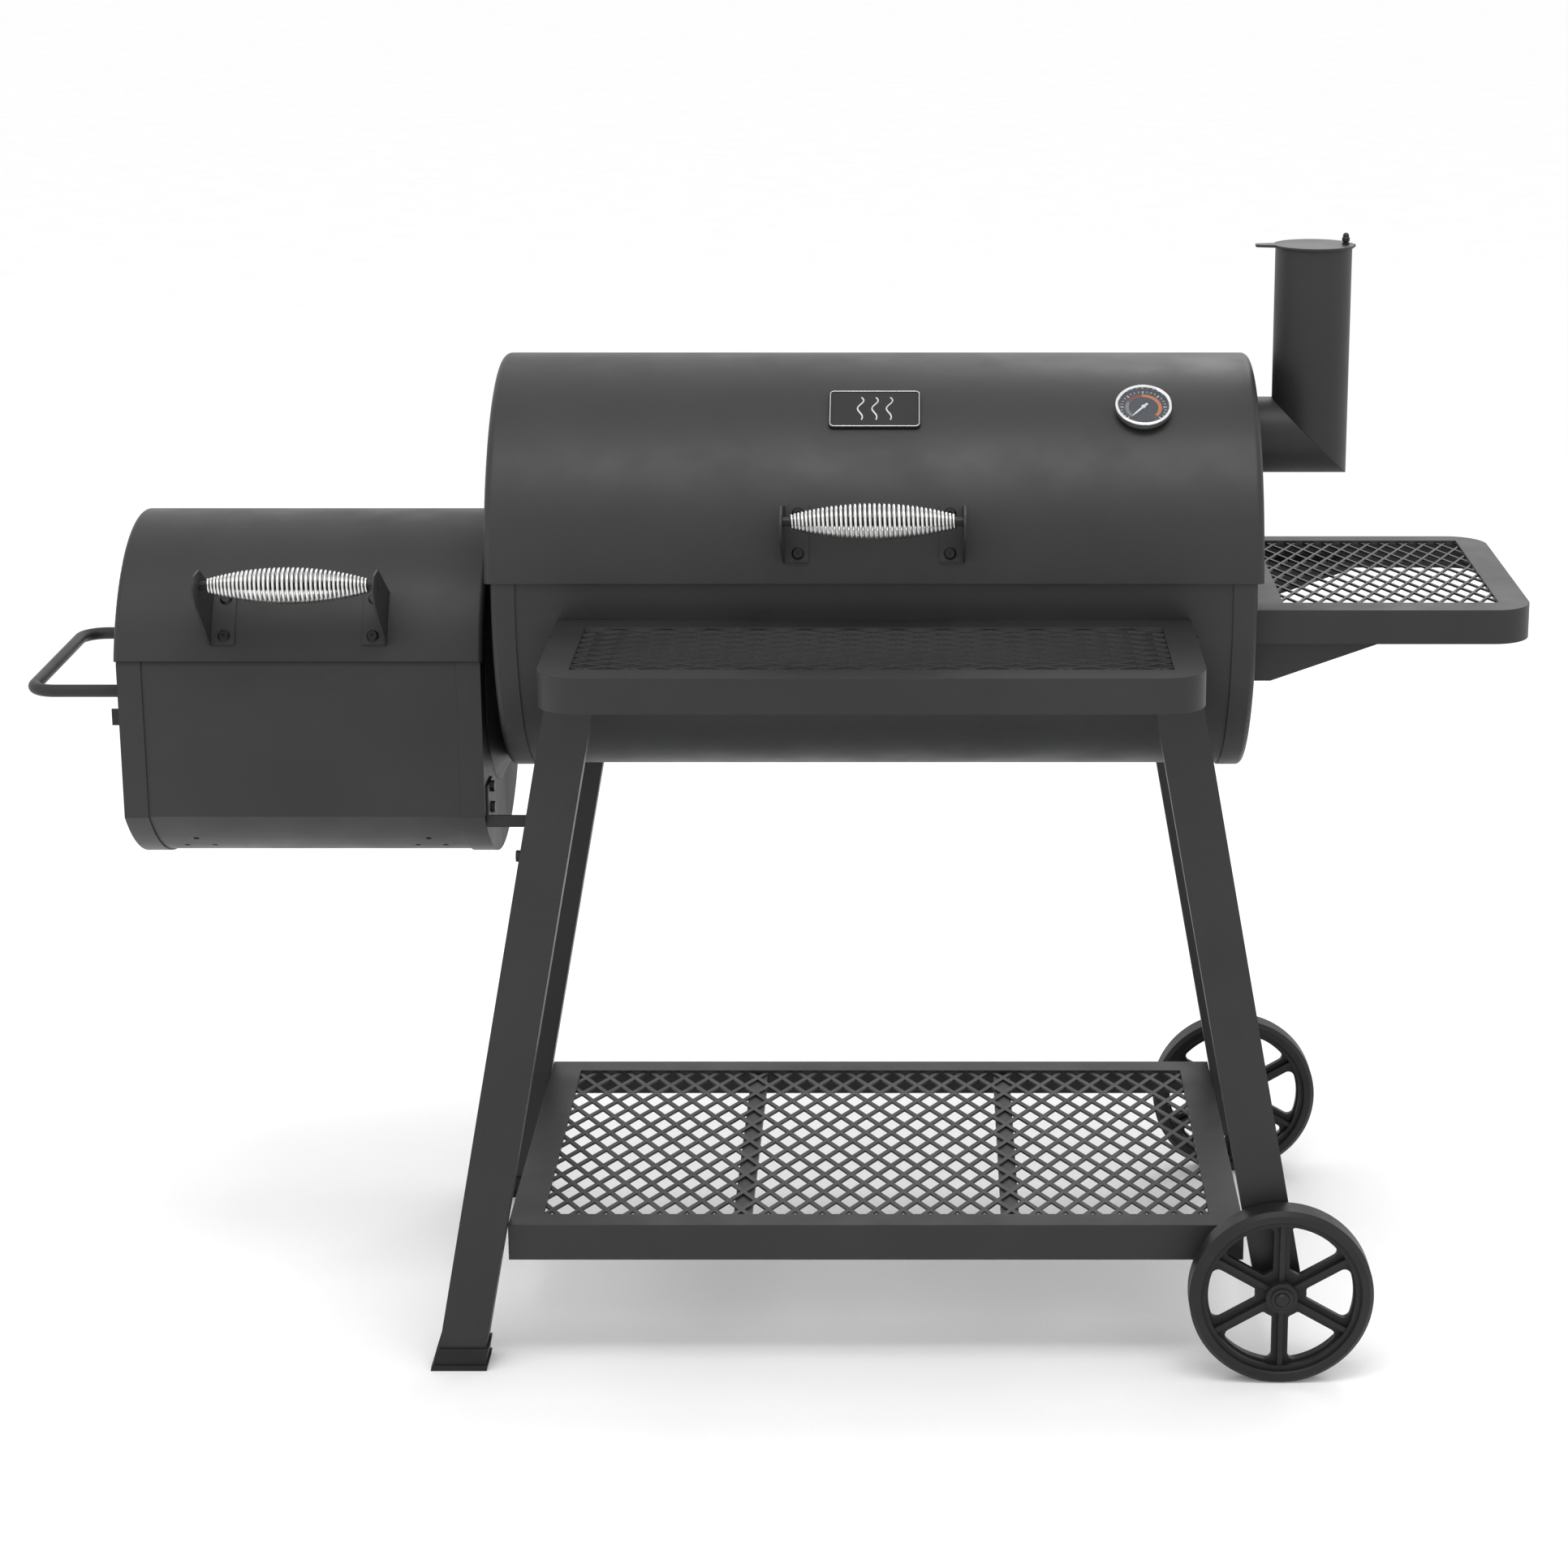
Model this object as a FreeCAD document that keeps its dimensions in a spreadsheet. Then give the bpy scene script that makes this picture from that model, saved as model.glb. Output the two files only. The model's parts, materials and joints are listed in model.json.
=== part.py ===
import FreeCAD, Part
import math
import os
import re

import Sketcher

# Offset smoker.  Millimetres.  Each sub-part is drawn in the barrel's own coordinates:
# X = 0 at the barrel's mid length (+X to the stack), Y = 0 on the barrel's axis (+Y to the rear),
# Z = 0 on the floor.  One shift then puts the origin at the bottom centre of the whole object.

SIZES = {
    # outer reach from the barrel's centre
    "reach_left": 1022, "reach_right": 776, "reach_front": 523, "reach_rear": 380,
    # barrel: lid, shell and end discs
    "axis_height": 944.8, "lid_radius": 254, "lid_sheet": 2.2, "lid_half": 453, "lid_bend": 9,
    "lid_lip": 22, "lid_front_angle": 173.9, "lid_rear_angle": 27,
    "wrap_radius": 249, "wrap_sheet": 2.5, "wrap_half": 439, "wrap_front_angle": 168,
    "wrap_rear_angle": 25, "disc_out": 445.5, "disc_sheet": 2.1, "disc_bend": 6, "disc_depth": 28.5,
    # firebox: flat walls, arched top, curved belly
    "box_left": 899, "box_right": 467.5, "box_half": 190, "belly_radius": 249,
    "belly_height": 831, "hood_radius": 201, "hood_height": 804.4, "hood_edge": 864, "hood_front_angle": 162.7,
    "hood_left": 902, "hood_right": 464.7, "hood_bend": 6, "hood_gap": 3.5, "cap_inset": 1.2, "skin_inset": 3.2,
    "cap_sheet": 2, "skin_sheet": 2.5, "cap_depth": 29,
    # duct from the firebox into the barrel
    "duct_height": 815, "duct_small": 104, "duct_large": 145, "duct_sheet": 3,
    # chimney
    "pipe_radius": 46, "pipe_sheet": 2.5, "stub_height": 1101.3, "pipe_x": 526.7,
    "pipe_top": 1330, "cap_gap": 0.3, "cap_thick": 3, "cap_radius": 48.5, "pivot_x": 567.4,
    "bolt_top": 1347, "tab_end": 456.7,
    # legs: rectangular tubes that lean outwards along X
    "leg_width": 57, "leg_depth": 40.5, "leg_front": 289, "leg_wall": 2, "leg_out": 383.9,
    "leg_mark": 827, "leg_lean": 0.1844, "leg_top": 923, "leg_end": 88, "foot_lift": 4,
    "foot_wall": 3, "foot_rise": 28,
    # wheels and axle
    "wheel_radius": 110.85, "wheel_width": 38, "wheel_gap": 2, "rear_gap": 45, "axle_x": 487.2, "axle_radius": 8,
    "axle_fit": 0.05, "hub_radius": 19, "rim_inner": 90, "rim_step": 96,
    "spoke_half": 9.75, "window_in": 31, "window_out": 87.5, "window_round": 8, "hub_round": 4,
    # front shelf
    "front_top": 929, "front_half": 368, "front_back": 250, "front_edge": 523, "apron": 41,
    "shelf_sheet": 2.5, "front_round": 47, "front_hole_half": 332.5, "front_hole_back": 289.5,
    "front_hole_front": 485,
    # side shelf
    "side_top": 930, "side_half": 207, "side_hole_in": 483.5, "side_hole_out": 739,
    "side_hole_front": 167, "side_hole_rear": 180,
    # lower shelf
    "low_top": 184, "low_apron": 45, "low_half_x": 444.5, "low_half_y": 278, "low_hole_x": 405,
    "low_hole_y": 244, "bar_x": 163.2, "bar_width": 21.8,
    # expanded metal: pitch along and across the shelf, strand width, thickness, edge under the frame
    "fine_short": 24, "fine_long": 53.2, "fine_strand": 3.2, "coarse_short": 33,
    "coarse_long": 55.9, "coarse_strand": 6.2, "mesh_thick": 2.5, "mesh_edge": 8,
    # sprung handles
    "grip_half": 105.3, "grip_base": 30, "grip_plate": 2.5, "grip_rise": 83.7, "grip_foot": 33.5,
    "rod_radius": 5.25, "coil_half": 95.5, "coil_mid": 21.8, "coil_end": 8,
    "grip_bolt_x": 88, "grip_bolt_rise": 23, "cook_grip_angle": 160.67, "cook_grip_lift": 3.1,
    "fire_grip_angle": 147.6, "fire_grip_lift": 10.7, "fire_grip_x": -682.3, "grip_bolt_head": 7.4,
    # hinges of both lids
    "knuckle": 6, "hinge_pin": 3, "hinge_fit": 0.05, "hinge_rise": 7.5, "cook_hinge_x": 290,
    "cook_hinge_angle": 26, "fire_hinge_x": 125, "fire_hinge_angle": 17.05, "leaf": 2.5,
    # gauge and plaque on the lid
    "gauge_x": 315.6, "gauge_angle": 124.4, "bezel_radius": 33.5, "dial_radius": 29.6,
    "gauge_deep": 13, "plaque_angle": 123.6, "plaque_half": 54, "plaque_tall": 31,
    # inside
    "grate_top": 934, "grate_rod": 3, "grate_pitch": 17, "grate_half_y": 232, "grate_end": 428,
    "coal_top": 682, "coal_rod": 5, "coal_half_y": 174, "coal_pitch": 25,
    # cart handle, ash door, latch and damper
    "cart_height": 816.5, "cart_half": 146, "cart_tube": 7.6, "cart_bend": 30, "door_half": 100,
    "door_low": 628, "door_high": 785, "door_hole_half": 82, "door_sheet": 3, "door_gap": 0.7,
    "vent_height": 706, "vent_orbit": 29, "vent_hole": 12, "damper_radius": 48,
    # struts between firebox and legs
    "strut_low": 655, "strut_rise": 14.5, "strut_y": 176, "strut_end": 380, "gusset_low": 841, "gusset_flat": 468, "gusset_end": 603, "gusset_y": 190,
}

doc = FreeCAD.newDocument("offset_smoker")
sheet = doc.addObject("Spreadsheet::Sheet", "sizes")
nodes = []


def fill_sheet():
    """Write every driving dimension as a plain number with its word as alias."""
    for row, (word, size) in enumerate(SIZES.items(), start=1):
        sheet.set("A%d" % row, word)
        sheet.set("B%d" % row, str(size))
        sheet.setAlias("B%d" % row, word)
    doc.recompute()


def formula(text):
    """Turn a formula on the sheet's words into one that FreeCAD can bind."""
    return re.sub(r"[a-z]\w*", lambda m: "sizes." + m.group(0) if m.group(0) in SIZES else m.group(0),
                  str(text))


def number(text):
    """Value of such a formula now."""
    return float(sheet.evalExpression(formula(text)))


def bind(obj, **formulas):
    """Bind properties of an object to formulas on the sheet."""
    for name, text in formulas.items():
        obj.setExpression(name, formula(text))


def bind_base(obj, at, path="Placement"):
    """Bind the three coordinates of a placement."""
    for letter, text in zip("xyz", at):
        obj.setExpression("%s.Base.%s" % (path, letter), formula(text))


def node(obj, label):
    """Register a finished sub-part and shift it to the object's frame."""
    obj.Label = label
    bind_base(obj, ("(reach_left - reach_right) / 2", "(reach_front - reach_rear) / 2", "0"))
    nodes.append(obj)
    return obj


# ---------------------------------------------------------------- Part helpers

def box(low, high):
    """Block between two corners given as formulas."""
    block = doc.addObject("Part::Box", "block")
    bind(block, Length="(%s) - (%s)" % (high[0], low[0]), Width="(%s) - (%s)" % (high[1], low[1]),
         Height="(%s) - (%s)" % (high[2], low[2]))
    bind_base(block, low)
    return block


TURNS = {
    "X": FreeCAD.Rotation(FreeCAD.Vector(1, 1, 1), 120),
    "Y": FreeCAD.Rotation(FreeCAD.Vector(1, 0, 0), -90),
    "Z": FreeCAD.Rotation(),
}


def rod(along, start, length, radius, sweep="360", first=0.0):
    """Cylinder or sector along a row axis; first is where the sector begins."""
    piece = doc.addObject("Part::Cylinder", "rod")
    bind(piece, Radius=radius, Height=length, Angle=sweep)
    spin = FreeCAD.Rotation(FreeCAD.Vector(0, 0, 1), first)
    piece.Placement = FreeCAD.Placement(FreeCAD.Vector(), TURNS[along] * spin)
    bind_base(piece, start)
    return piece


def radial_rod(angle, centre_height, x, low, high, radius, tip_radius=None):
    """Pin or cone along the radius at an angle round a lengthwise axis."""
    kind = "Part::Cylinder" if tip_radius is None else "Part::Cone"
    piece = doc.addObject(kind, "radial")
    bind(piece, Height="(%s) - (%s)" % (high, low))
    if tip_radius is None:
        bind(piece, Radius=radius)
    else:
        bind(piece, Radius1=radius, Radius2=tip_radius)
    lean = number(angle)
    piece.Placement = FreeCAD.Placement(FreeCAD.Vector(), FreeCAD.Rotation(FreeCAD.Vector(1, 0, 0), lean - 90))
    bind_base(piece, (x, "(%s) * cos(%s)" % (low, angle),
                      "(%s) + (%s) * sin(%s)" % (centre_height, low, angle)))
    return piece


def cut(base, tool):
    """Base less one tool."""
    result = doc.addObject("Part::Cut", "cut")
    result.Base = base
    result.Tool = tool
    return result


def fuse(*pieces):
    """One solid of several."""
    result = doc.addObject("Part::MultiFuse", "fuse")
    result.Shapes = list(pieces)
    return result


def common(*pieces):
    """What several solids share."""
    result = doc.addObject("Part::MultiCommon", "common")
    result.Shapes = list(pieces)
    return result


def group(pieces):
    """Separate solids kept together as one node."""
    result = doc.addObject("Part::Compound", "group")
    result.Links = list(pieces)
    return result


def sector(x_low, x_high, inner, outer, first, last, height="axis_height"):
    """Curved plate round a lengthwise axis, from one angle to another."""
    length = "(%s) - (%s)" % (x_high, x_low)
    start = (x_low, "0", height)
    sweep = "(%s) - (%s)" % (last, first)
    plate = rod("X", start, length, outer, sweep, number(first))
    return cut(plate, rod("X", start, length, inner))


# ---------------------------------------------------------------- PartDesign helpers

def new_body(name):
    """Empty body."""
    return doc.addObject("PartDesign::Body", name)


def origin_plane(body, role):
    """One of a body's own origin planes."""
    for feature in body.Origin.OriginFeatures:
        if feature.Role == role:
            return feature


def draw_circle(sketch, centre_u, centre_v, radius):
    """Circle fixed by its centre and radius."""
    circle = Part.Circle(FreeCAD.Vector(number(centre_u), number(centre_v), 0),
                         FreeCAD.Vector(0, 0, 1), number(radius))
    index = sketch.addGeometry(circle, False)
    constrain(sketch, ("DistanceX", -1, 1, index, 3), centre_u)
    constrain(sketch, ("DistanceY", -1, 1, index, 3), centre_v)
    constrain(sketch, ("Radius", index), radius)


def constrain(sketch, kind_and_ends, text):
    """Dimension bound to a formula."""
    index = sketch.addConstraint(Sketcher.Constraint(*kind_and_ends, number(text)))
    sketch.setExpression("Constraints[%d]" % index, formula(text))


def draw_loop(sketch, points):
    """Closed outline.  A point is (u, v), or (u, v, radius) where an arc leads to the next one.

    A positive radius turns left along the outline, a negative one turns right.
    """
    count = len(points)
    spots = [FreeCAD.Vector(number(point[0]), number(point[1]), 0) for point in points]
    ends = []
    for index, point in enumerate(points):
        start, stop = spots[index], spots[(index + 1) % count]
        if len(point) == 2:
            made = sketch.addGeometry(Part.LineSegment(start, stop), False)
            ends.append((made, 1, 2))
        else:
            radius = number(point[2])
            made = sketch.addGeometry(arc_between(start, stop, radius), False)
            ends.append((made, 1, 2) if radius > 0 else (made, 2, 1))
            constrain(sketch, ("Radius", made), point[2] if radius > 0 else "-(%s)" % point[2])
    for index, point in enumerate(points):
        made, first, last = ends[index]
        other, other_first, _ = ends[(index + 1) % count]
        sketch.addConstraint(Sketcher.Constraint("Coincident", made, last, other, other_first))
        constrain(sketch, ("DistanceX", -1, 1, made, first), point[0])
        constrain(sketch, ("DistanceY", -1, 1, made, first), point[1])


def arc_between(start, stop, radius):
    """Minor arc from one point to another; its sign says which way it turns."""
    chord = stop - start
    middle = (start + stop) * 0.5
    left = FreeCAD.Vector(-chord.y, chord.x, 0).normalize()
    rise = math.sqrt(max(radius * radius - chord.Length ** 2 / 4, 0))
    centre = middle + left * (rise if radius > 0 else -rise)
    first = math.atan2(start.y - centre.y, start.x - centre.x)
    last = math.atan2(stop.y - centre.y, stop.x - centre.x)
    if radius < 0:
        first, last = last, first
    circle = Part.Circle(centre, FreeCAD.Vector(0, 0, 1), abs(radius))
    return Part.ArcOfCircle(circle, first, last if last > first else last + 2 * math.pi)


def new_sketch(body, plane, offset, loops=(), circles=(), at=("0", "0"), turn=0.0):
    """Sketch on an origin plane, moved along its normal, and turned in its own plane."""
    sketch = body.newObject("Sketcher::SketchObject", "sketch")
    sketch.AttachmentSupport = [(origin_plane(body, plane + "_Plane"), "")]
    sketch.MapMode = "FlatFace"
    spin = FreeCAD.Rotation(FreeCAD.Vector(0, 0, 1), turn)
    sketch.AttachmentOffset = FreeCAD.Placement(FreeCAD.Vector(), spin)
    bind_base(sketch, (at[0], at[1], offset), "AttachmentOffset")
    for loop in loops:
        draw_loop(sketch, loop)
    for circle in circles:
        draw_circle(sketch, *circle)
    return sketch


def pad(body, sketch, length, backwards=False):
    """Add material along the sketch's normal."""
    feature = body.newObject("PartDesign::Pad", "pad")
    feature.Profile = sketch
    feature.Reversed = backwards
    bind(feature, Length=length)
    return feature


def pocket(body, sketch, length, forwards=True):
    """Remove material along the sketch's normal, or against it."""
    feature = body.newObject("PartDesign::Pocket", "pocket")
    feature.Profile = sketch
    feature.Reversed = forwards
    bind(feature, Length=length)
    return feature


def revolve(body, sketch, axis, sweep="360"):
    """Turn a profile about one of its sketch's axes."""
    feature = body.newObject("PartDesign::Revolution", "turned")
    feature.Profile = sketch
    feature.ReferenceAxis = (sketch, [axis])
    bind(feature, Angle=sweep)
    return feature


def rectangle(u_low, v_low, u_high, v_high):
    """Outline of a rectangle."""
    return [(u_low, v_low), (u_high, v_low), (u_high, v_high), (u_low, v_high)]


# ---------------------------------------------------------------- barrel

def cook_chamber_wrap():
    """Fixed shell: the lower part of the barrel, up to the hinge line at the rear."""
    inner = "wrap_radius - wrap_sheet"
    node(sector("-wrap_half", "wrap_half", inner, "wrap_radius", "wrap_front_angle",
                "360 + wrap_rear_angle"), "cook_chamber_wrap")


def end_disc(label, side, hole_height, hole_radius):
    """Dished full-circle end that laps over the shell, with one duct hole."""
    body = new_body(label)
    rim = "wrap_radius + disc_sheet"
    bend_x = "%s * (disc_out - disc_bend)" % side
    turn = "disc_bend" if side > 0 else "-disc_bend"
    back = "-(disc_bend - disc_sheet)" if side > 0 else "disc_bend - disc_sheet"
    outline = [
        ("%s * disc_out" % side, "0"),
        ("%s * disc_out" % side, rim + " - disc_bend", turn),
        (bend_x, rim),
        ("%s * (disc_out - disc_depth)" % side, rim),
        ("%s * (disc_out - disc_depth)" % side, "wrap_radius"),
        (bend_x, "wrap_radius", back),
        ("%s * (disc_out - disc_sheet)" % side, rim + " - disc_bend"),
        ("%s * (disc_out - disc_sheet)" % side, "0"),
    ]
    revolve(body, new_sketch(body, "XY", "axis_height", [outline]), "H_Axis")
    face = "%s * disc_out - 5" % side
    pocket(body, new_sketch(body, "YZ", face, circles=[("0", hole_height, hole_radius)]), "10")
    return node(body, label)


def lid_shell(radius, sheet, bend, lip, left, right):
    """Profile of a curved lid with a turned-in lip at each end, drawn outwards from the axis."""
    low = "%s - %s" % (radius, lip)
    rise = "%s - %s" % (radius, bend)
    return [
        (left, low),
        ("%s + %s" % (left, sheet), low),
        ("%s + %s" % (left, sheet), rise, "-(%s - %s)" % (bend, sheet)),
        ("%s + %s" % (left, bend), "%s - %s" % (radius, sheet)),
        ("%s - %s" % (right, bend), "%s - %s" % (radius, sheet), "-(%s - %s)" % (bend, sheet)),
        ("%s - %s" % (right, sheet), rise),
        ("%s - %s" % (right, sheet), low),
        (right, low),
        (right, rise, bend),
        ("%s - %s" % (right, bend), radius),
        ("%s + %s" % (left, bend), radius, bend),
        (left, rise),
    ]


def lid(label, height, first, last, outline):
    """Lid turned about the barrel's or the firebox's lengthwise axis."""
    body = new_body(label)
    sketch = new_sketch(body, "XY", height, [outline])
    sketch.AttachmentOffset = FreeCAD.Placement(sketch.AttachmentOffset.Base,
                                                FreeCAD.Rotation(FreeCAD.Vector(1, 0, 0), number(first)))
    revolve(body, sketch, "H_Axis", "(%s) - (%s)" % (last, first))
    return body


def cook_lid():
    """Barrel lid with the gauge's hole."""
    outline = lid_shell("lid_radius", "lid_sheet", "lid_bend", "lid_lip", "-lid_half", "lid_half")
    shell = lid("cook_lid_blank", "axis_height", "lid_rear_angle", "lid_front_angle", outline)
    hole = radial_rod("gauge_angle", "axis_height", "gauge_x", "lid_radius - 8", "lid_radius + 4", "4.4")
    node(cut(shell, hole), "cook_lid")


def plaque():
    """Blank nameplate that follows the lid, with a raised border."""
    body = new_body("plaque_blank")
    turn = number("plaque_angle - 90")
    corner = "6"

    def rounded(inset):
        wide = "(plaque_half - %s)" % inset
        tall = "(plaque_tall - %s)" % inset
        turn_radius = "(%s - %s)" % (corner, inset)
        side = "%s - %s" % (wide, turn_radius)
        rise = "%s - %s" % (tall, turn_radius)
        return [
            ("-(%s)" % side, "-" + tall), (side, "-" + tall, turn_radius),
            (wide, "-(%s)" % rise), (wide, rise, turn_radius),
            (side, tall), ("-(%s)" % side, tall, turn_radius),
            ("-" + wide, rise), ("-" + wide, "-(%s)" % rise, turn_radius),
        ]

    sketch = new_sketch(body, "XY", "0", [rounded("0")])
    pad(body, sketch, "lid_radius + 20")
    hollow = new_sketch(body, "XY", "lid_radius + 2.2", [rounded("3.2")])
    pocket(body, hollow, "30")
    body.Placement = FreeCAD.Placement(FreeCAD.Vector(), FreeCAD.Rotation(FreeCAD.Vector(1, 0, 0), turn))
    bind_base(body, ("0", "0", "axis_height"))
    skin = sector("-plaque_half - 1", "plaque_half + 1", "lid_radius", "lid_radius + 4",
                  "plaque_angle - 12", "plaque_angle + 12")
    node(common(body, skin), "nameplate")


# ---------------------------------------------------------------- sprung handles

def handle(prefix, x, height, radius, angle, lift):
    """Two bent brackets, a rod, the coil's outer shape and four bolts."""
    rod_y = "((%s + grip_rise) * cos(%s) + %s * sin(%s))" % (radius, angle, lift, angle)
    rod_z = "(%s + (%s + grip_rise) * sin(%s) - %s * cos(%s))" % (height, radius, angle, lift, angle)
    spread = "grip_foot / %s * 57.2958" % radius
    brackets = []
    for side in (-1, 1):
        outer = "%s + %s * grip_half" % (x, side)
        inner = "%s + %s * (grip_half - grip_base)" % (x, side)
        edges = (outer, inner) if side < 0 else (inner, outer)
        foot = sector(edges[0], edges[1], radius, radius + " + grip_plate",
                      "%s - %s" % (angle, spread), "%s + %s" % (angle, spread), height)
        ear = new_body(prefix + "_ear")
        outline = [
            (radius + " - 6", "-grip_foot"), (radius + " + 90", "-%s - 17.3" % lift),
            (radius + " + 108", "-%s - 5.3" % lift, "17.5"), (radius + " + 108", "-%s + 24.7" % lift),
            (radius + " + 97", "-%s + 28.7" % lift), (radius + " + 6", "grip_foot"),
            (radius + " - 6", "grip_foot"),
        ]
        start = outer if side < 0 else outer + " - grip_plate"
        pad(ear, new_sketch(ear, "YZ", start, [outline], at=("0", height), turn=number(angle)),
            "grip_plate")
        trimmed = cut(ear, rod("X", (edges[0], "0", height), "grip_base", radius))
        hole = rod("X", (start + " - 1", rod_y, rod_z), "grip_plate + 2", "rod_radius + 0.1")
        brackets.append(cut(fuse(foot, trimmed), hole))
    node(group(brackets), prefix + "_brackets")
    bar = rod("X", ("%s - grip_half - 0.8" % x, rod_y, rod_z), "2 * grip_half + 1.6", "rod_radius")
    node(group([bar]), prefix + "_rod")
    coil = new_body(prefix + "_coil_shape")
    bulge = "((coil_half ^ 2 + (coil_mid - coil_end) ^ 2) / (2 * (coil_mid - coil_end)))"
    outline = [
        ("%s - coil_half" % x, "rod_radius + 0.2"), ("%s + coil_half" % x, "rod_radius + 0.2"),
        ("%s + coil_half" % x, "coil_end", bulge), ("%s - coil_half" % x, "coil_end"),
    ]
    revolve(coil, new_sketch(coil, "XY", rod_z, [outline], at=("0", rod_y)), "H_Axis")
    node(coil, prefix + "_coil")
    bolts = []
    for side in (-1, 1):
        for sign in "-+":
            bolts.append(radial_bolt("%s %s grip_bolt_rise / %s * 57.2958" % (angle, sign, radius), height,
                                     "%s + %s * grip_bolt_x" % (x, side), radius + " + grip_plate"))
    node(group(bolts), prefix + "_bolts")


def radial_bolt(angle, height, x, seat):
    """Low domed head with a socket, on a shank that passes through the sheet."""
    head = radial_rod(angle, height, x, seat, seat + " + 3.6", "grip_bolt_head", "grip_bolt_head - 2.2")
    shank = radial_rod(angle, height, x, seat + " - 12", seat + " + 1", "3")
    socket = radial_rod(angle, height, x, seat + " + 1.6", seat + " + 5", "2.4")
    return cut(fuse(head, shank), socket)


# ---------------------------------------------------------------- lid hinges

def lid_hinges(prefix, centres, radius, height, angle, edge_angle):
    """Lid leaves; returns the fixed knuckles and the pins, which stay with the shell."""
    axis_y = "((%s + hinge_rise) * cos(%s))" % (radius, angle)
    axis_z = "(%s + (%s + hinge_rise) * sin(%s))" % (height, radius, angle)
    leaves, fixed, pins = [], [], []
    for x in centres:
        plate = sector(x + " - 30", x + " + 30", radius, radius + " + leaf",
                       edge_angle + " + 2.2", edge_angle + " + 12", height)
        neck = sector(x + " - 11.5", x + " + 11.5", radius, radius + " + leaf",
                      angle + " + 0.2", edge_angle + " + 3", height)
        knuckle = rod("X", (x + " - 11.5", axis_y, axis_z), "23", "knuckle")
        bore = rod("X", (x + " - 12", axis_y, axis_z), "24", "hinge_pin + hinge_fit")
        leaves.append(cut(fuse(plate, neck, knuckle), bore))
        fixed += [(rod("X", ("%s %s" % (x, start), axis_y, axis_z), "18", "knuckle"), x, start)
                  for start in ("- 30", "+ 12")]
        pins.append(rod("X", (x + " - 32", axis_y, axis_z), "64", "hinge_pin"))
    node(group(leaves), prefix + "_hinge_leaves")
    return fixed, pins, (axis_y, axis_z)


def bored(solid, x, axis):
    """Fixed knuckle group with the pin's bore."""
    return cut(solid, rod("X", (x + " - 40", axis[0], axis[1]), "80", "hinge_pin"))


def all_hinges():
    """Both lids' hinges, with the fixed leaves and pins of each."""
    fixed, pins, axis = lid_hinges("cook_lid", ("-cook_hinge_x", "cook_hinge_x"), "lid_radius",
                                   "axis_height", "cook_hinge_angle", "lid_rear_angle")
    leaves = []
    for side in ("-cook_hinge_x", "cook_hinge_x"):
        plate = sector(side + " - 30", side + " + 30", "wrap_radius", "wrap_radius + leaf",
                       "wrap_rear_angle - 11", "wrap_rear_angle - 0.6")
        necks = [sector("%s %s" % (side, start), "%s %s + 18" % (side, start), "wrap_radius",
                        "wrap_radius + 9", "wrap_rear_angle - 1.6", "wrap_rear_angle + 0.4")
                 for start in ("- 30", "+ 12")]
        knuckles = [piece for piece, x, _ in fixed if x == side]
        leaves.append(bored(fuse(plate, *necks, *knuckles), side, axis))
    node(group(leaves), "cook_chamber_hinge_leaves")
    centre = "(hood_left + hood_right) / 2"
    centres = ("-%s - fire_hinge_x" % centre, "-%s + fire_hinge_x" % centre)
    fixed, fire_pins, axis = lid_hinges("firebox_lid", centres, "hood_radius", "hood_height",
                                        "fire_hinge_angle", "fire_hinge_angle + 0.9")
    leaves = []
    wall = "box_half - skin_inset"
    for side in centres:
        plate = box((side + " - 30", wall, "hood_edge - 40"),
                    (side + " + 30", wall + " + leaf", "hood_edge - 2.5"))
        necks = [box(("%s %s" % (side, start), wall, "hood_edge - 8"),
                     ("%s %s + 18" % (side, start), wall + " + 9", "hood_edge - 1.2"))
                 for start in ("- 30", "+ 12")]
        knuckles = [piece for piece, x, _ in fixed if x == side]
        leaves.append(bored(fuse(plate, *necks, *knuckles), side, axis))
    node(group(leaves), "firebox_hinge_leaves")
    node(group(pins + fire_pins), "lid_hinge_pins")


# ---------------------------------------------------------------- gauge

def gauge_part(label, draw):
    """Body whose own Z points out of the lid, with its origin on the lid's surface."""
    body = new_body(label)
    draw(body)
    body.Label = label
    lean = number("gauge_angle") - 90
    body.Placement = FreeCAD.Placement(FreeCAD.Vector(), FreeCAD.Rotation(FreeCAD.Vector(1, 0, 0), lean))
    bind_base(body, ("(reach_left - reach_right) / 2 + gauge_x",
                     "(reach_front - reach_rear) / 2 + lid_radius * cos(gauge_angle)",
                     "axis_height + lid_radius * sin(gauge_angle)"))
    nodes.append(body)


def turned(outline):
    """Recipe for a body turned about its own Z axis."""
    return lambda body: revolve(body, new_sketch(body, "XZ", "0", [outline]), "V_Axis")


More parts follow.
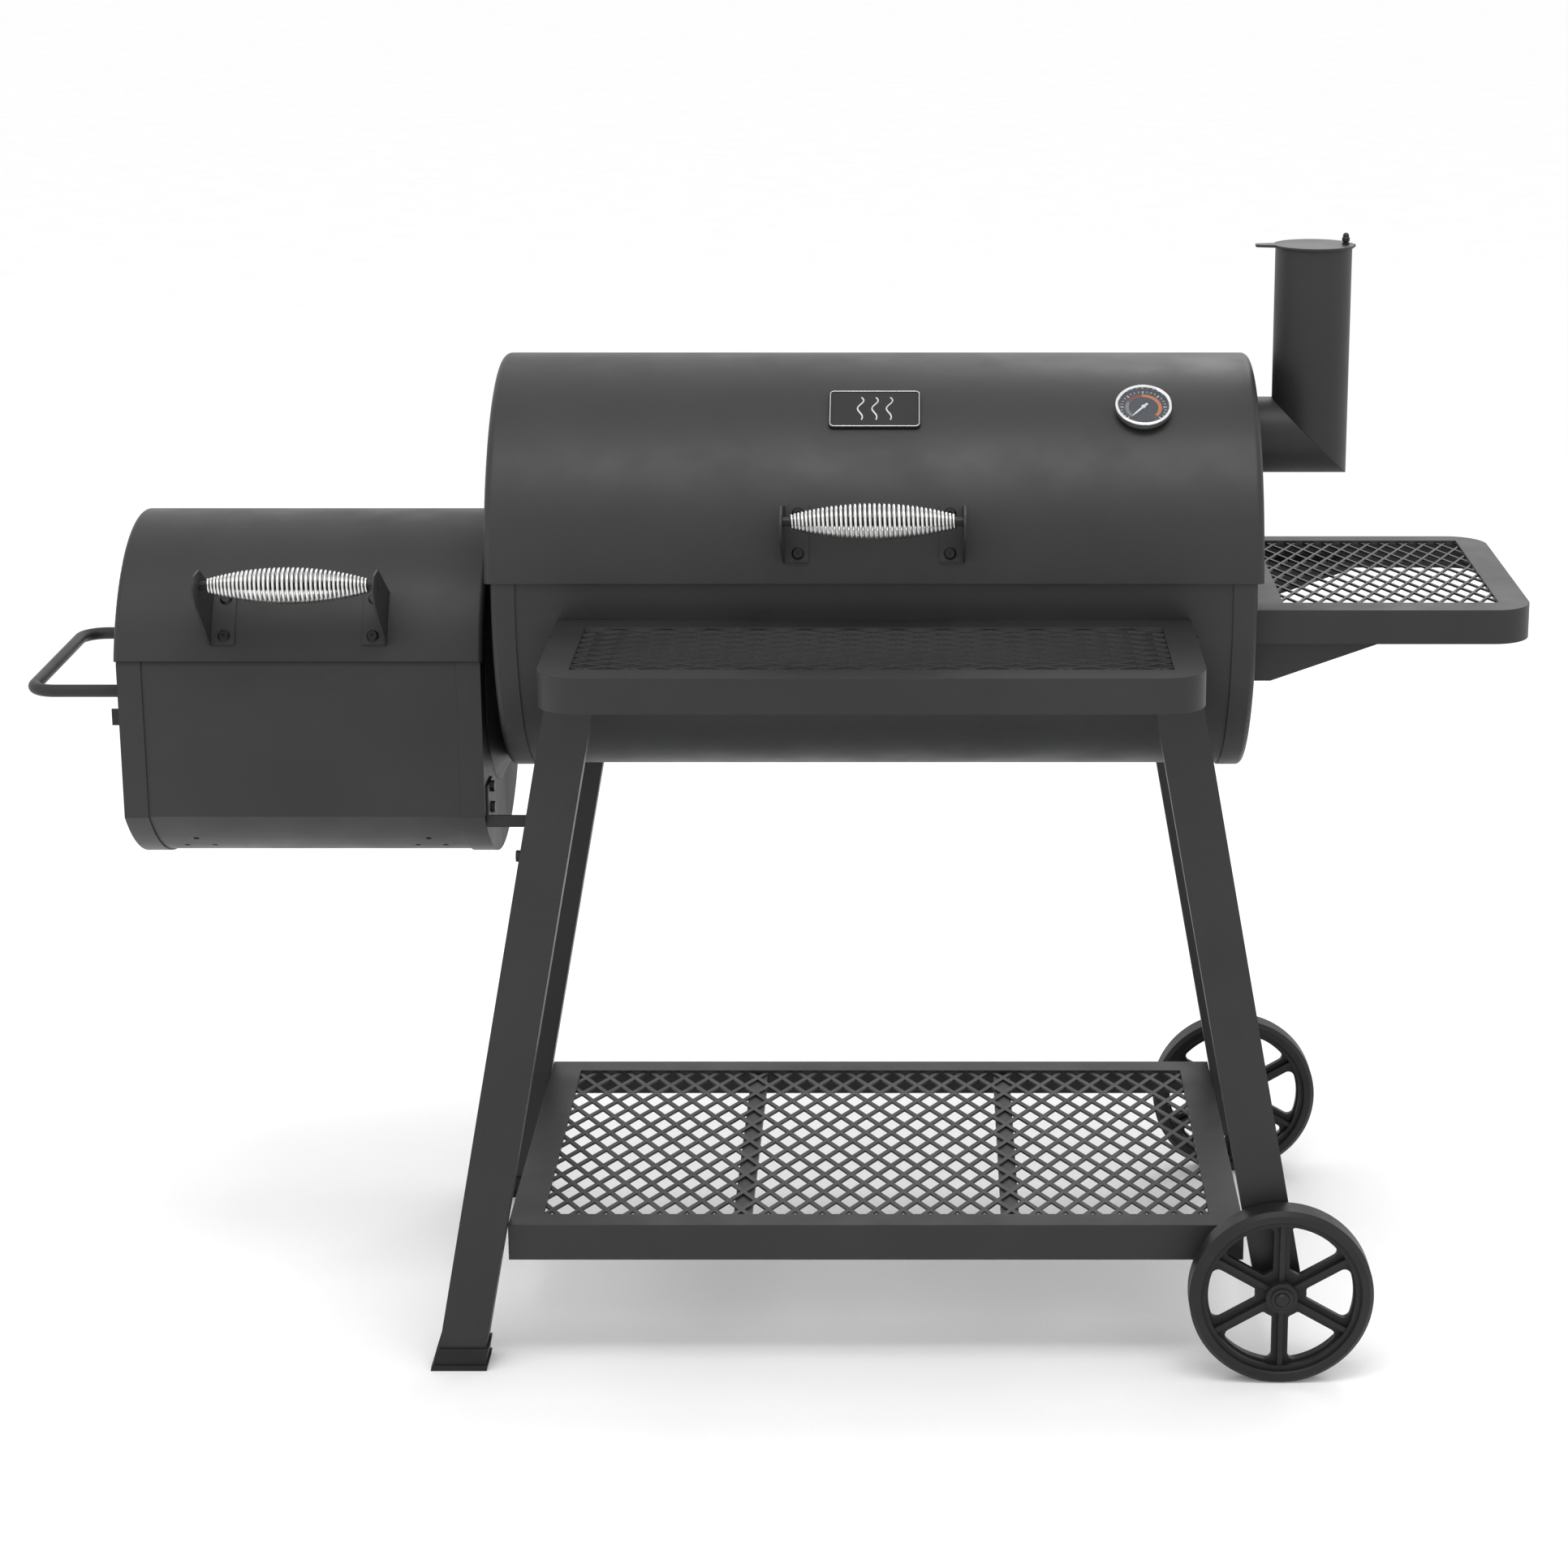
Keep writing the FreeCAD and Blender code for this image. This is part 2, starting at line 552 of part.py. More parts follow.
def gauge():
    """Case with its stem and nut, dial, pointer and glass."""
    case = [
        ("0", "-62"), ("3.2", "-62"), ("3.2", "-7.5"), ("11", "-7.5"), ("11", "-3"), ("4", "-3"),
        ("4", "0.6"), ("9", "0.6"), ("9", "2.4"), ("31", "2.4"), ("31", "6"),
        ("bezel_radius", "6.8"), ("bezel_radius", "gauge_deep - 1.8", "1.8"),
        ("bezel_radius - 1.8", "gauge_deep"), ("dial_radius + 0.8", "gauge_deep"),
        ("dial_radius", "gauge_deep - 1"), ("dial_radius", "6"), ("0", "6"),
    ]
    gauge_part("thermometer_case", turned(case))
    dial = [("1.3", "6"), ("dial_radius - 0.1", "6"), ("dial_radius - 0.1", "6.8"), ("1.3", "6.8")]
    gauge_part("thermometer_dial", turned(dial))
    glass = [("0", "10.6"), ("dial_radius - 0.1", "10.6"), ("dial_radius - 0.1", "11.8"), ("0", "11.8")]
    gauge_part("thermometer_glass", turned(glass))

    def pointer(body):
        """Hub and a slim arrow that points down to the left at rest."""
        pad(body, new_sketch(body, "XY", "6.1", circles=[("0", "0", "1.2")]), "2")
        pad(body, new_sketch(body, "XY", "7.6", circles=[("0", "0", "2.6")]), "1.6")
        arrow = [("-1.5", "-7"), ("1.5", "-7"), ("1.1", "14"), ("0", "22"), ("-1.1", "14")]
        pad(body, new_sketch(body, "XY", "8", [arrow], turn=138), "0.8")

    gauge_part("thermometer_needle", pointer)


# ---------------------------------------------------------------- grates and their ledges

def wire_grate(label, x_low, x_high, half_y, top, thick, pitch):
    """Welded grate: two cross rods below a row of front-to-back rods."""
    body = new_body(label)
    runs = max(2, int((number(x_high) - number(x_low)) / number(pitch)))
    pad(body, new_sketch(body, "YZ", x_low, circles=[
        ("-%s + 30" % half_y, "%s - 2.6 * %s" % (top, thick), thick)]), "(%s) - (%s)" % (x_high, x_low))
    first = new_sketch(body, "XZ", "-(%s)" % half_y, circles=[
        ("%s + %s" % (x_low, thick), "%s - %s" % (top, thick), thick)])
    rib = pad(body, first, "2 * (%s)" % half_y)
    row = body.newObject("PartDesign::LinearPattern", "row")
    row.Originals = [rib]
    row.Direction = (first, ["H_Axis"])
    bind(row, Length="(%s) - (%s) - 2 * %s" % (x_high, x_low, thick))
    row.Occurrences = runs + 1
    body.Tip = row
    for level in ("0", "%s - 30" % half_y):
        pad(body, new_sketch(body, "YZ", x_low, circles=[
            (level, "%s - 2.6 * %s" % (top, thick), thick)]), "(%s) - (%s)" % (x_high, x_low))
    return node(body, label)


def grates():
    """Two cooking grates on ledges, and a charcoal grate on ledges in the firebox."""
    ledge_top = "(grate_top - 2 * grate_rod - 0.3)"
    bore = "wrap_radius - wrap_sheet"
    ledges = []
    for side in (-1, 1):
        edges = ("214", "250") if side > 0 else ("-250", "-214")
        shelf = box(("-wrap_half + 4", edges[0], ledge_top + " - 3"), ("wrap_half - 4", edges[1], ledge_top))
        ledges.append(common(shelf, rod("X", ("-wrap_half", "0", "axis_height"), "2 * wrap_half", bore)))
    node(group(ledges), "grate_ledges")
    wire_grate("cooking_grate_left", "-grate_end", "-2", "grate_half_y", "grate_top", "grate_rod", "grate_pitch")
    wire_grate("cooking_grate_right", "2", "grate_end", "grate_half_y", "grate_top", "grate_rod", "grate_pitch")
    coal_ledge = "(coal_top - 2 * coal_rod - 0.3)"
    strips = []
    for side in (-1, 1):
        edges = ("150", "box_half - skin_inset - skin_sheet - 12")
        low, high = edges if side > 0 else ("-(%s)" % edges[1], "-" + edges[0])
        strips.append(box(("-box_left + cap_sheet", low, coal_ledge + " - 3"),
                          ("-box_right - cap_sheet", high, coal_ledge)))
    node(group(strips), "charcoal_grate_ledges")
    wire_grate("charcoal_grate", "-box_left + 14", "-box_right - 14", "coal_half_y", "coal_top",
               "coal_rod", "coal_pitch")


# ---------------------------------------------------------------- chimney

def chimney():
    """Mitred stub and pipe, swivelling cap with its lug and bolt."""
    reach = 400.0
    half = reach / 2
    root = math.sqrt(0.5)

    def mitre(turn, side):
        """Big block with one face in the mitre plane."""
        block = doc.addObject("Part::Box", "mitre")
        block.Length = block.Width = block.Height = reach
        block.Placement = FreeCAD.Placement(FreeCAD.Vector(), FreeCAD.Rotation(FreeCAD.Vector(0, 1, 0), turn))
        bind_base(block, ("pipe_x + %s" % (side * half * root), -half,
                          "stub_height - %s" % (side * half * root)))
        return block

    inner = "pipe_radius - pipe_sheet"
    start = ("disc_out - 8", "0", "stub_height")
    stub = cut(rod("X", start, "160", "pipe_radius"), rod("X", start, "160", inner))
    node(cut(stub, mitre(-45, 1)), "stack_stub")
    foot = ("pipe_x", "0", "stub_height - 60")
    tall = "pipe_top - stub_height + 60"
    pipe = cut(rod("Z", foot, tall, "pipe_radius"), rod("Z", foot, tall, inner))
    lug = common(box(("pivot_x - 9", "-8", "pipe_top - 14"), ("pivot_x + 9", "8", "pipe_top")),
                 rod("Z", foot, tall, inner))
    hole = rod("Z", ("pivot_x - 2.4", "0", "pipe_top - 20"), "30", "2.6")
    node(fuse(cut(pipe, mitre(135, -1)), cut(lug, hole)), "stack_pipe")
    body = new_body("stack_cap")
    level = "pipe_top + cap_gap"
    pad(body, new_sketch(body, "XY", level, circles=[("pipe_x", "0", "cap_radius")]), "cap_thick")
    tab = [
        ("tab_end + 4", "-8"), ("pipe_x - 30", "-15"), ("pipe_x - 30", "15"),
        ("tab_end + 4", "8", "4"), ("tab_end", "4"), ("tab_end", "-4", "4"),
    ]
    pad(body, new_sketch(body, "XY", level, [tab]), "cap_thick")
    ear = [("pipe_x + 30", "-12"), ("pivot_x + 5", "-8"), ("pivot_x + 9.2", "-3"), ("pivot_x + 9.2", "3"),
           ("pivot_x + 5", "8"), ("pipe_x + 30", "12")]
    pad(body, new_sketch(body, "XY", level, [ear]), "cap_thick")
    bore = new_sketch(body, "XY", level + " - 2", circles=[("pivot_x - 2.4", "0", "2.65")])
    pocket(body, bore, "cap_thick + 6")
    node(body, "stack_cap")
    bolt = new_body("stack_cap_bolt")
    top = "pipe_top + cap_gap + cap_thick"
    outline = [
        ("0", "pipe_top - 19"), ("2.6", "pipe_top - 19"), ("2.6", top + " + 0.3"), ("4.6", top + " + 0.3"),
        ("4.6", top + " + 1.5"), ("3.4", top + " + 2.2"), ("3.4", top + " + 3"), ("4.7", top + " + 4"),
        ("4.7", top + " + 7.4"), ("3.7", top + " + 8.6"), ("3.7", "bolt_top - 2.6"),
        ("2.4", "bolt_top - 0.7"), ("1", "bolt_top"), ("0", "bolt_top"),
    ]
    revolve(bolt, new_sketch(bolt, "XZ", "0", [outline], at=("pivot_x - 2.4", "0")), "V_Axis")
    node(bolt, "stack_cap_bolt")


# ---------------------------------------------------------------- firebox

def firebox_outline(inset):
    """Section of the firebox, drawn inwards by an inset: flat walls, arched top, curved belly."""
    half = "(box_half - (%s))" % inset
    belly = "(belly_radius - (%s))" % inset
    hood = "(hood_radius - hood_gap - (%s))" % inset
    low = "belly_height - sqrt(%s ^ 2 - %s ^ 2)" % (belly, half)
    high = "hood_height + sqrt(%s ^ 2 - %s ^ 2)" % (hood, half)
    return [(half, high, hood), ("-" + half, high), ("-" + half, low, belly), (half, low)]


def firebox_end(label, start, inwards, holes, circles):
    """Dished end that laps over the skin by its rim."""
    body = new_body(label)
    back = inwards < 0
    pad(body, new_sketch(body, "YZ", start, [firebox_outline("cap_inset")]), "cap_depth", back)
    floor = "%s + %s * cap_sheet" % (start, inwards)
    pocket(body, new_sketch(body, "YZ", floor, [firebox_outline("cap_inset + cap_sheet")]), "cap_depth", not back)
    for loop in holes:
        pocket(body, new_sketch(body, "YZ", start + " - 4", [loop]), "9")
    for circle in circles:
        pocket(body, new_sketch(body, "YZ", start + " - 4", circles=[circle]), "9")
    return node(body, label)


def firebox():
    """Skin, two ends and the duct into the barrel."""
    body = new_body("firebox_skin")
    inside = "(box_left - cap_sheet - 0.2)"
    outside = "(box_right + cap_sheet + 0.2)"
    length = "%s - %s" % (inside, outside)
    pad(body, new_sketch(body, "YZ", "-" + inside, [firebox_outline("skin_inset")]), length)
    hollow = firebox_outline("skin_inset + skin_sheet")
    pocket(body, new_sketch(body, "YZ", "-%s - 1" % inside, [hollow]), length + " + 2")
    open_front = box(("-box_left - 5", "-box_half - 20", "hood_edge + 14"), ("-box_right + 5", "0", "hood_edge + 200"))
    open_rear = box(("-box_left - 5", "-1", "hood_edge - 2"), ("-box_right + 5", "box_half + 20", "hood_edge + 200"))
    drilled = cut(body, fuse(open_front, open_rear))
    drains = []
    for x in ("-824.4", "-542.6"):
        for step, angle in (("-16.8", 241.9), ("0", 234.6), ("16.8", 241.9)):
            drains.append(radial_rod(str(angle), "belly_height", "%s + %s" % (x, step),
                                     "belly_radius - 12", "belly_radius + 4", "3.6"))
    node(cut(drilled, group(drains)), "firebox_wrap")
    door = rectangle("-door_hole_half", "door_low + 17", "door_hole_half", "door_high - 17")
    firebox_end("firebox_left_end", "-box_left", 1, [door], [])
    throat = ("0", "duct_height", "duct_large - duct_sheet")
    firebox_end("firebox_right_end", "-box_right", -1, [], [throat])
    cones = []
    for thick in ("0", "duct_sheet"):
        cone = doc.addObject("Part::Cone", "cone")
        bind(cone, Radius1="duct_large - %s" % thick, Radius2="duct_small - %s" % thick,
             Height="box_right - disc_out")
        cone.Placement = FreeCAD.Placement(FreeCAD.Vector(), FreeCAD.Rotation(FreeCAD.Vector(0, 1, 0), 90))
        bind_base(cone, ("-box_right", "0", "duct_height"))
        cones.append(cone)
    node(cut(*cones), "firebox_collar")
    outline = lid_shell("hood_radius", "lid_sheet", "hood_bend", "lid_lip", "-hood_left", "-hood_right")
    node(lid("firebox_lid", "hood_height", "fire_hinge_angle + 0.9", "hood_front_angle", outline),
         "firebox_lid")


def ash_door():
    """Door with vents and two barrels, hinge pins on the end plate, turn button and damper."""
    face = "-(box_left + door_gap)"
    hinge_x = "-(box_left + 4.8)"
    hinge_y = "door_half + 6"
    plate = box(("%s - door_sheet" % face, "-door_half", "door_low"), (face, "door_half + 3", "door_high"))
    barrels, mounts = [plate], []
    for level in ("door_low + 22", "door_high - 52"):
        barrels.append(rod("Z", (hinge_x, hinge_y, level), "30", "4.5"))
        tab = box((hinge_x + " - 4.5", hinge_y + " - 4.5", level + " - 6.4"),
                  ("-box_left", hinge_y + " + 5", level + " - 0.4"))
        mounts.append(fuse(tab, rod("Z", (hinge_x, hinge_y, level + " - 4"), "30", "2.5")))
    door = fuse(*barrels)
    bores = [rod("Z", (hinge_x, hinge_y, level + " - 1"), "32", "2.55")
             for level in ("door_low + 22", "door_high - 52")]
    notches = [box((face + " - 20", "door_half - 1", level + " - 8"), (face + " + 1", "door_half + 20", level))
               for level in ("door_low + 22", "door_high - 52")]
    vents = ring_of_vents(face + " - 20", "30")
    rivet_hole = rod("X", (face + " - 20", "0", "vent_height"), "30", "3.2")
    node(cut(door, group(bores + notches + vents + [rivet_hole])), "ash_door")
    node(group(mounts), "ash_door_hinge")
    button = new_body("ash_door_latch")
    pivot = ("-(door_half + 16)", "door_high - 12")
    bar = [
        ("-(door_half + 22)", "door_high - 36"), ("-(door_half + 10)", "door_high - 36"),
        ("-(door_half + 10)", "door_high - 6"), ("-(door_half + 22)", "door_high - 6"),
    ]
    pad(button, new_sketch(button, "YZ", "-(box_left + door_gap + door_sheet + 3.4)", [bar]), "2.6")
    pad(button, new_sketch(button, "YZ", "-(box_left + door_gap + door_sheet + 6.4)",
                           circles=[(pivot[0], pivot[1], "4.5")]),
        "door_gap + door_sheet + 6")
    finger = rectangle("-(door_half + 18)", "door_high - 19", "-(door_half + 14)", "door_high + 1")
    pad(button, new_sketch(button, "YZ", "-(box_left + 25)", [finger]), "20")
    node(button, "ash_door_latch")
    disc = rod("X", (face + " - door_sheet - 2.4", "0", "vent_height"), "2", "damper_radius")
    holes = ring_of_vents(face + " - 20", "30")
    centre = rod("X", (face + " - 20", "0", "vent_height"), "30", "3.25")
    damper = cut(disc, group(holes + [centre]))
    node(fuse(damper, thumb_tab(face)), "air_damper")
    rivet = fuse(rod("X", (face + " - door_sheet - 2.9", "0", "vent_height"), "door_sheet + 4.2", "3.2"),
                 rod("X", (face + " - door_sheet - 5.4", "0", "vent_height"), "2.6", "7"))
    node(rivet, "air_damper_rivet")


def thumb_tab(face):
    """Small tab that turns the damper, between two of its vents."""
    return box((face + " - door_sheet - 11", "-1.5", "vent_height - damper_radius + 3"),
               (face + " - door_sheet - 1.2", "1.5", "vent_height - damper_radius + 15"))


def ring_of_vents(start, length):
    """Four round vents about the damper's centre, clear of its tab."""
    vents = []
    for quarter in range(4):
        angle = 45 + 90 * quarter
        vents.append(rod("X", (start, "vent_orbit * cos(%d)" % angle,
                               "vent_height + vent_orbit * sin(%d)" % angle), length, "vent_hole"))
    return vents


def cart_handle():
    """Horizontal U of round bar on the firebox's free end."""
    centre = "-(reach_left - cart_tube - cart_bend)"
    pieces = []
    for side, turn in ((-1, 180), (1, 90)):
        y = "%s * cart_half" % side
        pieces.append(rod("X", (centre, y, "cart_height"), "reach_left - cart_tube - cart_bend - box_left", "cart_tube"))
        bend = doc.addObject("Part::Torus", "bend")
        bind(bend, Radius1="cart_bend", Radius2="cart_tube")
        bend.Angle3 = 90
        bend.Placement = FreeCAD.Placement(FreeCAD.Vector(), FreeCAD.Rotation(FreeCAD.Vector(0, 0, 1), turn))
        bind_base(bend, (centre, "%s - %s * cart_bend" % (y, side), "cart_height"))
        pieces.append(bend)
    pieces.append(rod("Y", ("-(reach_left - cart_tube)", "-cart_half + cart_bend", "cart_height"),
                      "2 * (cart_half - cart_bend)", "cart_tube"))
    node(fuse(*pieces), "cart_handle")


# ---------------------------------------------------------------- legs, feet, axle and wheels

def leg_edge(side, inset, height):
    """X of a leg's outer edge, drawn inwards by an inset, at a height."""
    return "%s * (leg_out + leg_lean * (leg_mark - (%s)) - (%s))" % (side, height, inset)


def leg_outline(side, grow, low, high):
    """Leaning strip of the leg's width, widened on both edges."""
    outer = "-(%s)" % grow
    inner = "leg_width + (%s)" % grow
    return [
        (leg_edge(side, outer, low), low), (leg_edge(side, inner, low), low),
        (leg_edge(side, inner, high), high), (leg_edge(side, outer, high), high),
    ]


def leg(label, side, row, low):
    """Hollow leaning tube; the ones that carry the axle have its hole."""
    body = new_body(label)
    near = "-(leg_front - leg_depth)" if row < 0 else "leg_front"
    outline = leg_outline(side, "0", low, "leg_top")
    pad(body, new_sketch(body, "XZ", "-(%s)" % near, [outline]), "leg_depth")
    bore = leg_outline(side, "-leg_wall", "(%s) - 5" % low, "leg_top + 5")
    pocket(body, new_sketch(body, "XZ", "-(%s) + leg_wall" % near, [bore]), "leg_depth - 2 * leg_wall")
    if side > 0:
        hole = new_sketch(body, "XZ", "-(%s) - 5" % near, circles=[("axle_x", "wheel_radius", "axle_radius + 0.1")])
        pocket(body, hole, "leg_depth + 10")
    return node(body, label)


def leg_block(side, row, grow, low, high):
    """Solid strip round a leg, for the foot caps and for trimming what meets a leg."""
    body = new_body("leg_block")
    far = "leg_front + (%s)" % grow if row < 0 else "-(leg_front - leg_depth) + (%s)" % grow
    outline = leg_outline(side, grow, low, high)
    pad(body, new_sketch(body, "XZ", far, [outline]), "leg_depth + 2 * (%s)" % grow, True)
    return body


def legs_and_feet():
    """Four legs; the two without wheels stand in moulded caps."""
    caps = []
    for row, name in ((-1, "front"), (1, "rear")):
        leg(name + "_left_leg", -1, row, "foot_lift")
        leg(name + "_right_leg", 1, row, "leg_end")
        sleeve = leg_block(-1, row, "foot_wall", "0", "foot_rise")
        flare = leg_block(-1, row, "foot_wall + 2.5", "0", "7")
        hole = leg_block(-1, row, "0", "foot_lift", "foot_rise + 20")
        caps.append(cut(fuse(sleeve, flare), hole))
    node(group(caps), "foot_caps")
    near = "leg_front + wheel_gap + wheel_width + 2"
    far = "leg_front + rear_gap + wheel_width + 2"
    shaft = rod("Y", ("axle_x", "-(%s)" % near, "wheel_radius"), "%s + %s" % (near, far), "axle_radius")
    spacer = rod("Y", ("axle_x", "leg_front + 0.2", "wheel_radius"), "rear_gap - 0.8", "12")
    node(fuse(shaft, spacer), "axle")


def window_corner(reach, turn):
    """Where the round of a window's corner leaves the spoke, and the centre of that round."""
    run = "sqrt((%s) ^ 2 - (spoke_half + %s) ^ 2)" % (reach, turn)
    corner = []
    for side in ("spoke_half", "(spoke_half + %s)" % turn):
        corner.append(("(%s * cos(30) + %s * sin(30))" % (run, side), "(%s * sin(30) - %s * cos(30))" % (run, side)))
    return corner


def window_outline():
    """Rounded opening between two spokes that stand 30 degrees either side of the u axis."""
    far_edge, far_centre = window_corner("window_out - window_round", "window_round")
    near_edge, near_centre = window_corner("window_in + hub_round", "hub_round")
    far = ["%s * window_out / (window_out - window_round)" % part for part in far_centre]
    near = ["%s * window_in / (window_in + hub_round)" % part for part in near_centre]
    return [
        (near_edge[0], "-" + near_edge[1]), (far_edge[0], "-" + far_edge[1], "window_round"),
        (far[0], "-" + far[1], "window_out"), (far[0], far[1], "window_round"),
        (far_edge[0], far_edge[1]), (near_edge[0], near_edge[1], "hub_round"),
        (near[0], near[1], "-window_in"), (near[0], "-" + near[1], "hub_round"),
    ]


def wheel(label, row, gap):
    """Moulded wheel: hub, web with six windows, a rib up each spoke and a stepped rim."""
    body = new_body(label)
    half = "wheel_width / 2"
    rim = [
        ("rim_inner", "-13"), ("rim_step", "-13"), ("rim_step", "-%s + 1.5" % half),
        ("rim_step + 1.5", "-" + half), ("wheel_radius - 5", "-" + half),
        ("wheel_radius", "-%s + 5" % half), ("wheel_radius", "%s - 5" % half),
        ("wheel_radius - 5", half), ("rim_step + 1.5", half), ("rim_step", "%s - 1.5" % half),
        ("rim_step", "13"), ("rim_inner", "13"),
    ]
    hub = rectangle("axle_radius + axle_fit", "-" + half, "hub_radius", half)
    web = rectangle("hub_radius - 2", "-4", "rim_inner + 2", "4")
    for section in (hub, web, rim):
        revolve(body, new_sketch(body, "XY", "0", [section]), "V_Axis")
    rib = pad(body, new_sketch(body, "XZ", "-11", [rectangle("-3", "hub_radius - 2", "3", "rim_inner + 2")]), "22")
    window = pocket(body, new_sketch(body, "XZ", "-10", [window_outline()]), "20")
    ring = body.newObject("PartDesign::PolarPattern", "ring")
    ring.Originals = [rib, window]
    ring.Axis = (rib.Profile[0], ["N_Axis"])
    ring.Angle = 360
    ring.Occurrences = 6
    body.Tip = ring
    body.Label = label
    bind_base(body, ("(reach_left - reach_right) / 2 + axle_x",
                     "(reach_front - reach_rear) / 2 + %d * (leg_front + %s + wheel_width / 2)" % (row, gap),
                     "wheel_radius"))
    nodes.append(body)


def axle_caps():
    """Push-on hub caps that hold the wheels on the axle."""
    caps = []
    for row, gap in ((-1, "wheel_gap"), (1, "rear_gap")):
        body = new_body("axle_cap")
        seat = "leg_front + %s + wheel_width" % gap
        outline = [
            ("0", "%s + 2" % seat), ("axle_radius", "%s + 2" % seat), ("axle_radius", "%s + 0.4" % seat),
            ("13", "%s + 0.4" % seat), ("13", "%s + 2.4" % seat), ("9.5", "%s + 3.4" % seat),
            ("8.5", "%s + 6" % seat), ("6.5", "%s + 8" % seat), ("0", "%s + 8" % seat),
        ]
        outline = [(u, "%s" % v if row > 0 else "-(%s)" % v) for u, v in outline]
        sketch = new_sketch(body, "XY", "wheel_radius", [outline], at=("axle_x", "0"))
        revolve(body, sketch, "V_Axis")
        caps.append(body)
    node(group(caps), "axle_caps")


# ---------------------------------------------------------------- shelves

def mesh_panel(label, low, high, top, short, long, strand, wide, shift=0):
    """Expanded metal: a thin sheet pierced by staggered diamonds, whole in the middle of the shelf."""
    x_low, y_low, x_high, y_high = (number(text) for text in (*low, *high))
    edge, thick = number("mesh_edge"), number("mesh_thick")
    step_x, step_y = number(long if wide else short), number(short if wide else long)
    middle_x, middle_y = (x_low + x_high) / 2, (y_low + y_high) / 2
    slant = step_x * step_y / 4 / math.hypot(step_x / 2, step_y / 2)
    shrink = 1 - number(strand) / 2 / slant
    level = number(top) - thick
    wires = [rectangle_wire(x_low - edge, y_low - edge, x_high + edge, y_high + edge, level)]
    columns = int((x_high - x_low) / step_x) + 2
    rows = int((y_high - y_low) / step_y) + 2
    for column in range(-columns, columns + 1):
        for line in range(-rows, rows + 1):
            if (column + line + shift) % 2:
                continue
            centre = (middle_x + column * step_x / 2, middle_y + line * step_y / 2)
            diamond = [
                (centre[0] + shrink * step_x / 2, centre[1]), (centre[0], centre[1] + shrink * step_y / 2),
                (centre[0] - shrink * step_x / 2, centre[1]), (centre[0], centre[1] - shrink * step_y / 2),
            ]
            clipped = clip(diamond, x_low, y_low, x_high, y_high)
            if area(clipped) > 12:
                corners = [FreeCAD.Vector(x, y, level) for x, y in clipped]
                wires.append(Part.makePolygon(corners + corners[:1]))
    face = Part.makeFace(wires, "Part::FaceMakerBullseye")
    panel = doc.addObject("Part::Feature", label)
    panel.Shape = face.extrude(FreeCAD.Vector(0, 0, thick))
    node(panel, label)


def rectangle_wire(x_low, y_low, x_high, y_high, level):
    """Closed rectangle at a height."""
    corners = [(x_low, y_low), (x_high, y_low), (x_high, y_high), (x_low, y_high), (x_low, y_low)]
    return Part.makePolygon([FreeCAD.Vector(x, y, level) for x, y in corners])


def clip(corners, x_low, y_low, x_high, y_high):
    """Convex outline kept inside a rectangle."""
    for axis, limit, sign in ((0, x_low, 1), (0, x_high, -1), (1, y_low, 1), (1, y_high, -1)):
        kept = []
        for index, here in enumerate(corners):
            before = corners[index - 1]
            inside = sign * (here[axis] - limit)
            outside = sign * (before[axis] - limit)
            if (inside > 0) != (outside > 0):
                part = outside / (outside - inside)
                kept.append(tuple(before[n] + part * (here[n] - before[n]) for n in (0, 1)))
            if inside > 0:
                kept.append(here)
        corners = kept
    return corners


def area(corners):
    """Area of a flat outline."""
    total = sum(corners[n - 1][0] * here[1] - here[0] * corners[n - 1][1] for n, here in enumerate(corners))
    return abs(total) / 2


def tray(label, outline, inner, hole, top, deep, trims=()):
    """Shelf frame: flat rim round an opening, with an apron turned down all round."""
    body = new_body(label)
    low = "%s - %s" % (top, deep)
    pad(body, new_sketch(body, "XY", low, [outline]), deep)
    pocket(body, new_sketch(body, "XY", low + " - 1", [inner]), "%s - shelf_sheet + 1" % deep)
    for trim in trims:
        pocket(body, new_sketch(body, "XY", low + " - 1", [trim]), "%s - shelf_sheet + 1" % deep)
    pocket(body, new_sketch(body, "XY", top + " - 6", [hole]), "12")
    return body


def front_shelf():
    """Shelf in front of the barrel; its apron stops short of the legs."""

    def outline(inset, back):
        wide = "(front_half - %s)" % inset
        front = "-(front_edge - %s)" % inset
        turn = "(front_round - %s)" % inset
        return [
            (wide, back), ("-" + wide, back), ("-" + wide, "%s + %s" % (front, turn), turn),
            ("-%s + %s" % (wide, turn), front), ("%s - %s" % (wide, turn), front, turn),
            (wide, "%s + %s" % (front, turn)),
        ]

    hole = rectangle("-front_hole_half", "-front_hole_front", "front_hole_half", "-front_hole_back")
    trim = rectangle("-front_half - 5", "-(leg_front + 3)", "front_half + 5", "-front_back + 5")
    body = tray("front_shelf_frame", outline("0", "-front_back"), outline("shelf_sheet", "-front_back - 3"),
                hole, "front_top", "apron", [trim])
    node(body, "front_shelf_frame")
    mesh_panel("front_shelf_mesh", ("-front_hole_half", "-front_hole_front"),
               ("front_hole_half", "-front_hole_back"), "front_top - shelf_sheet", "fine_short", "fine_long",
               "fine_strand", True)


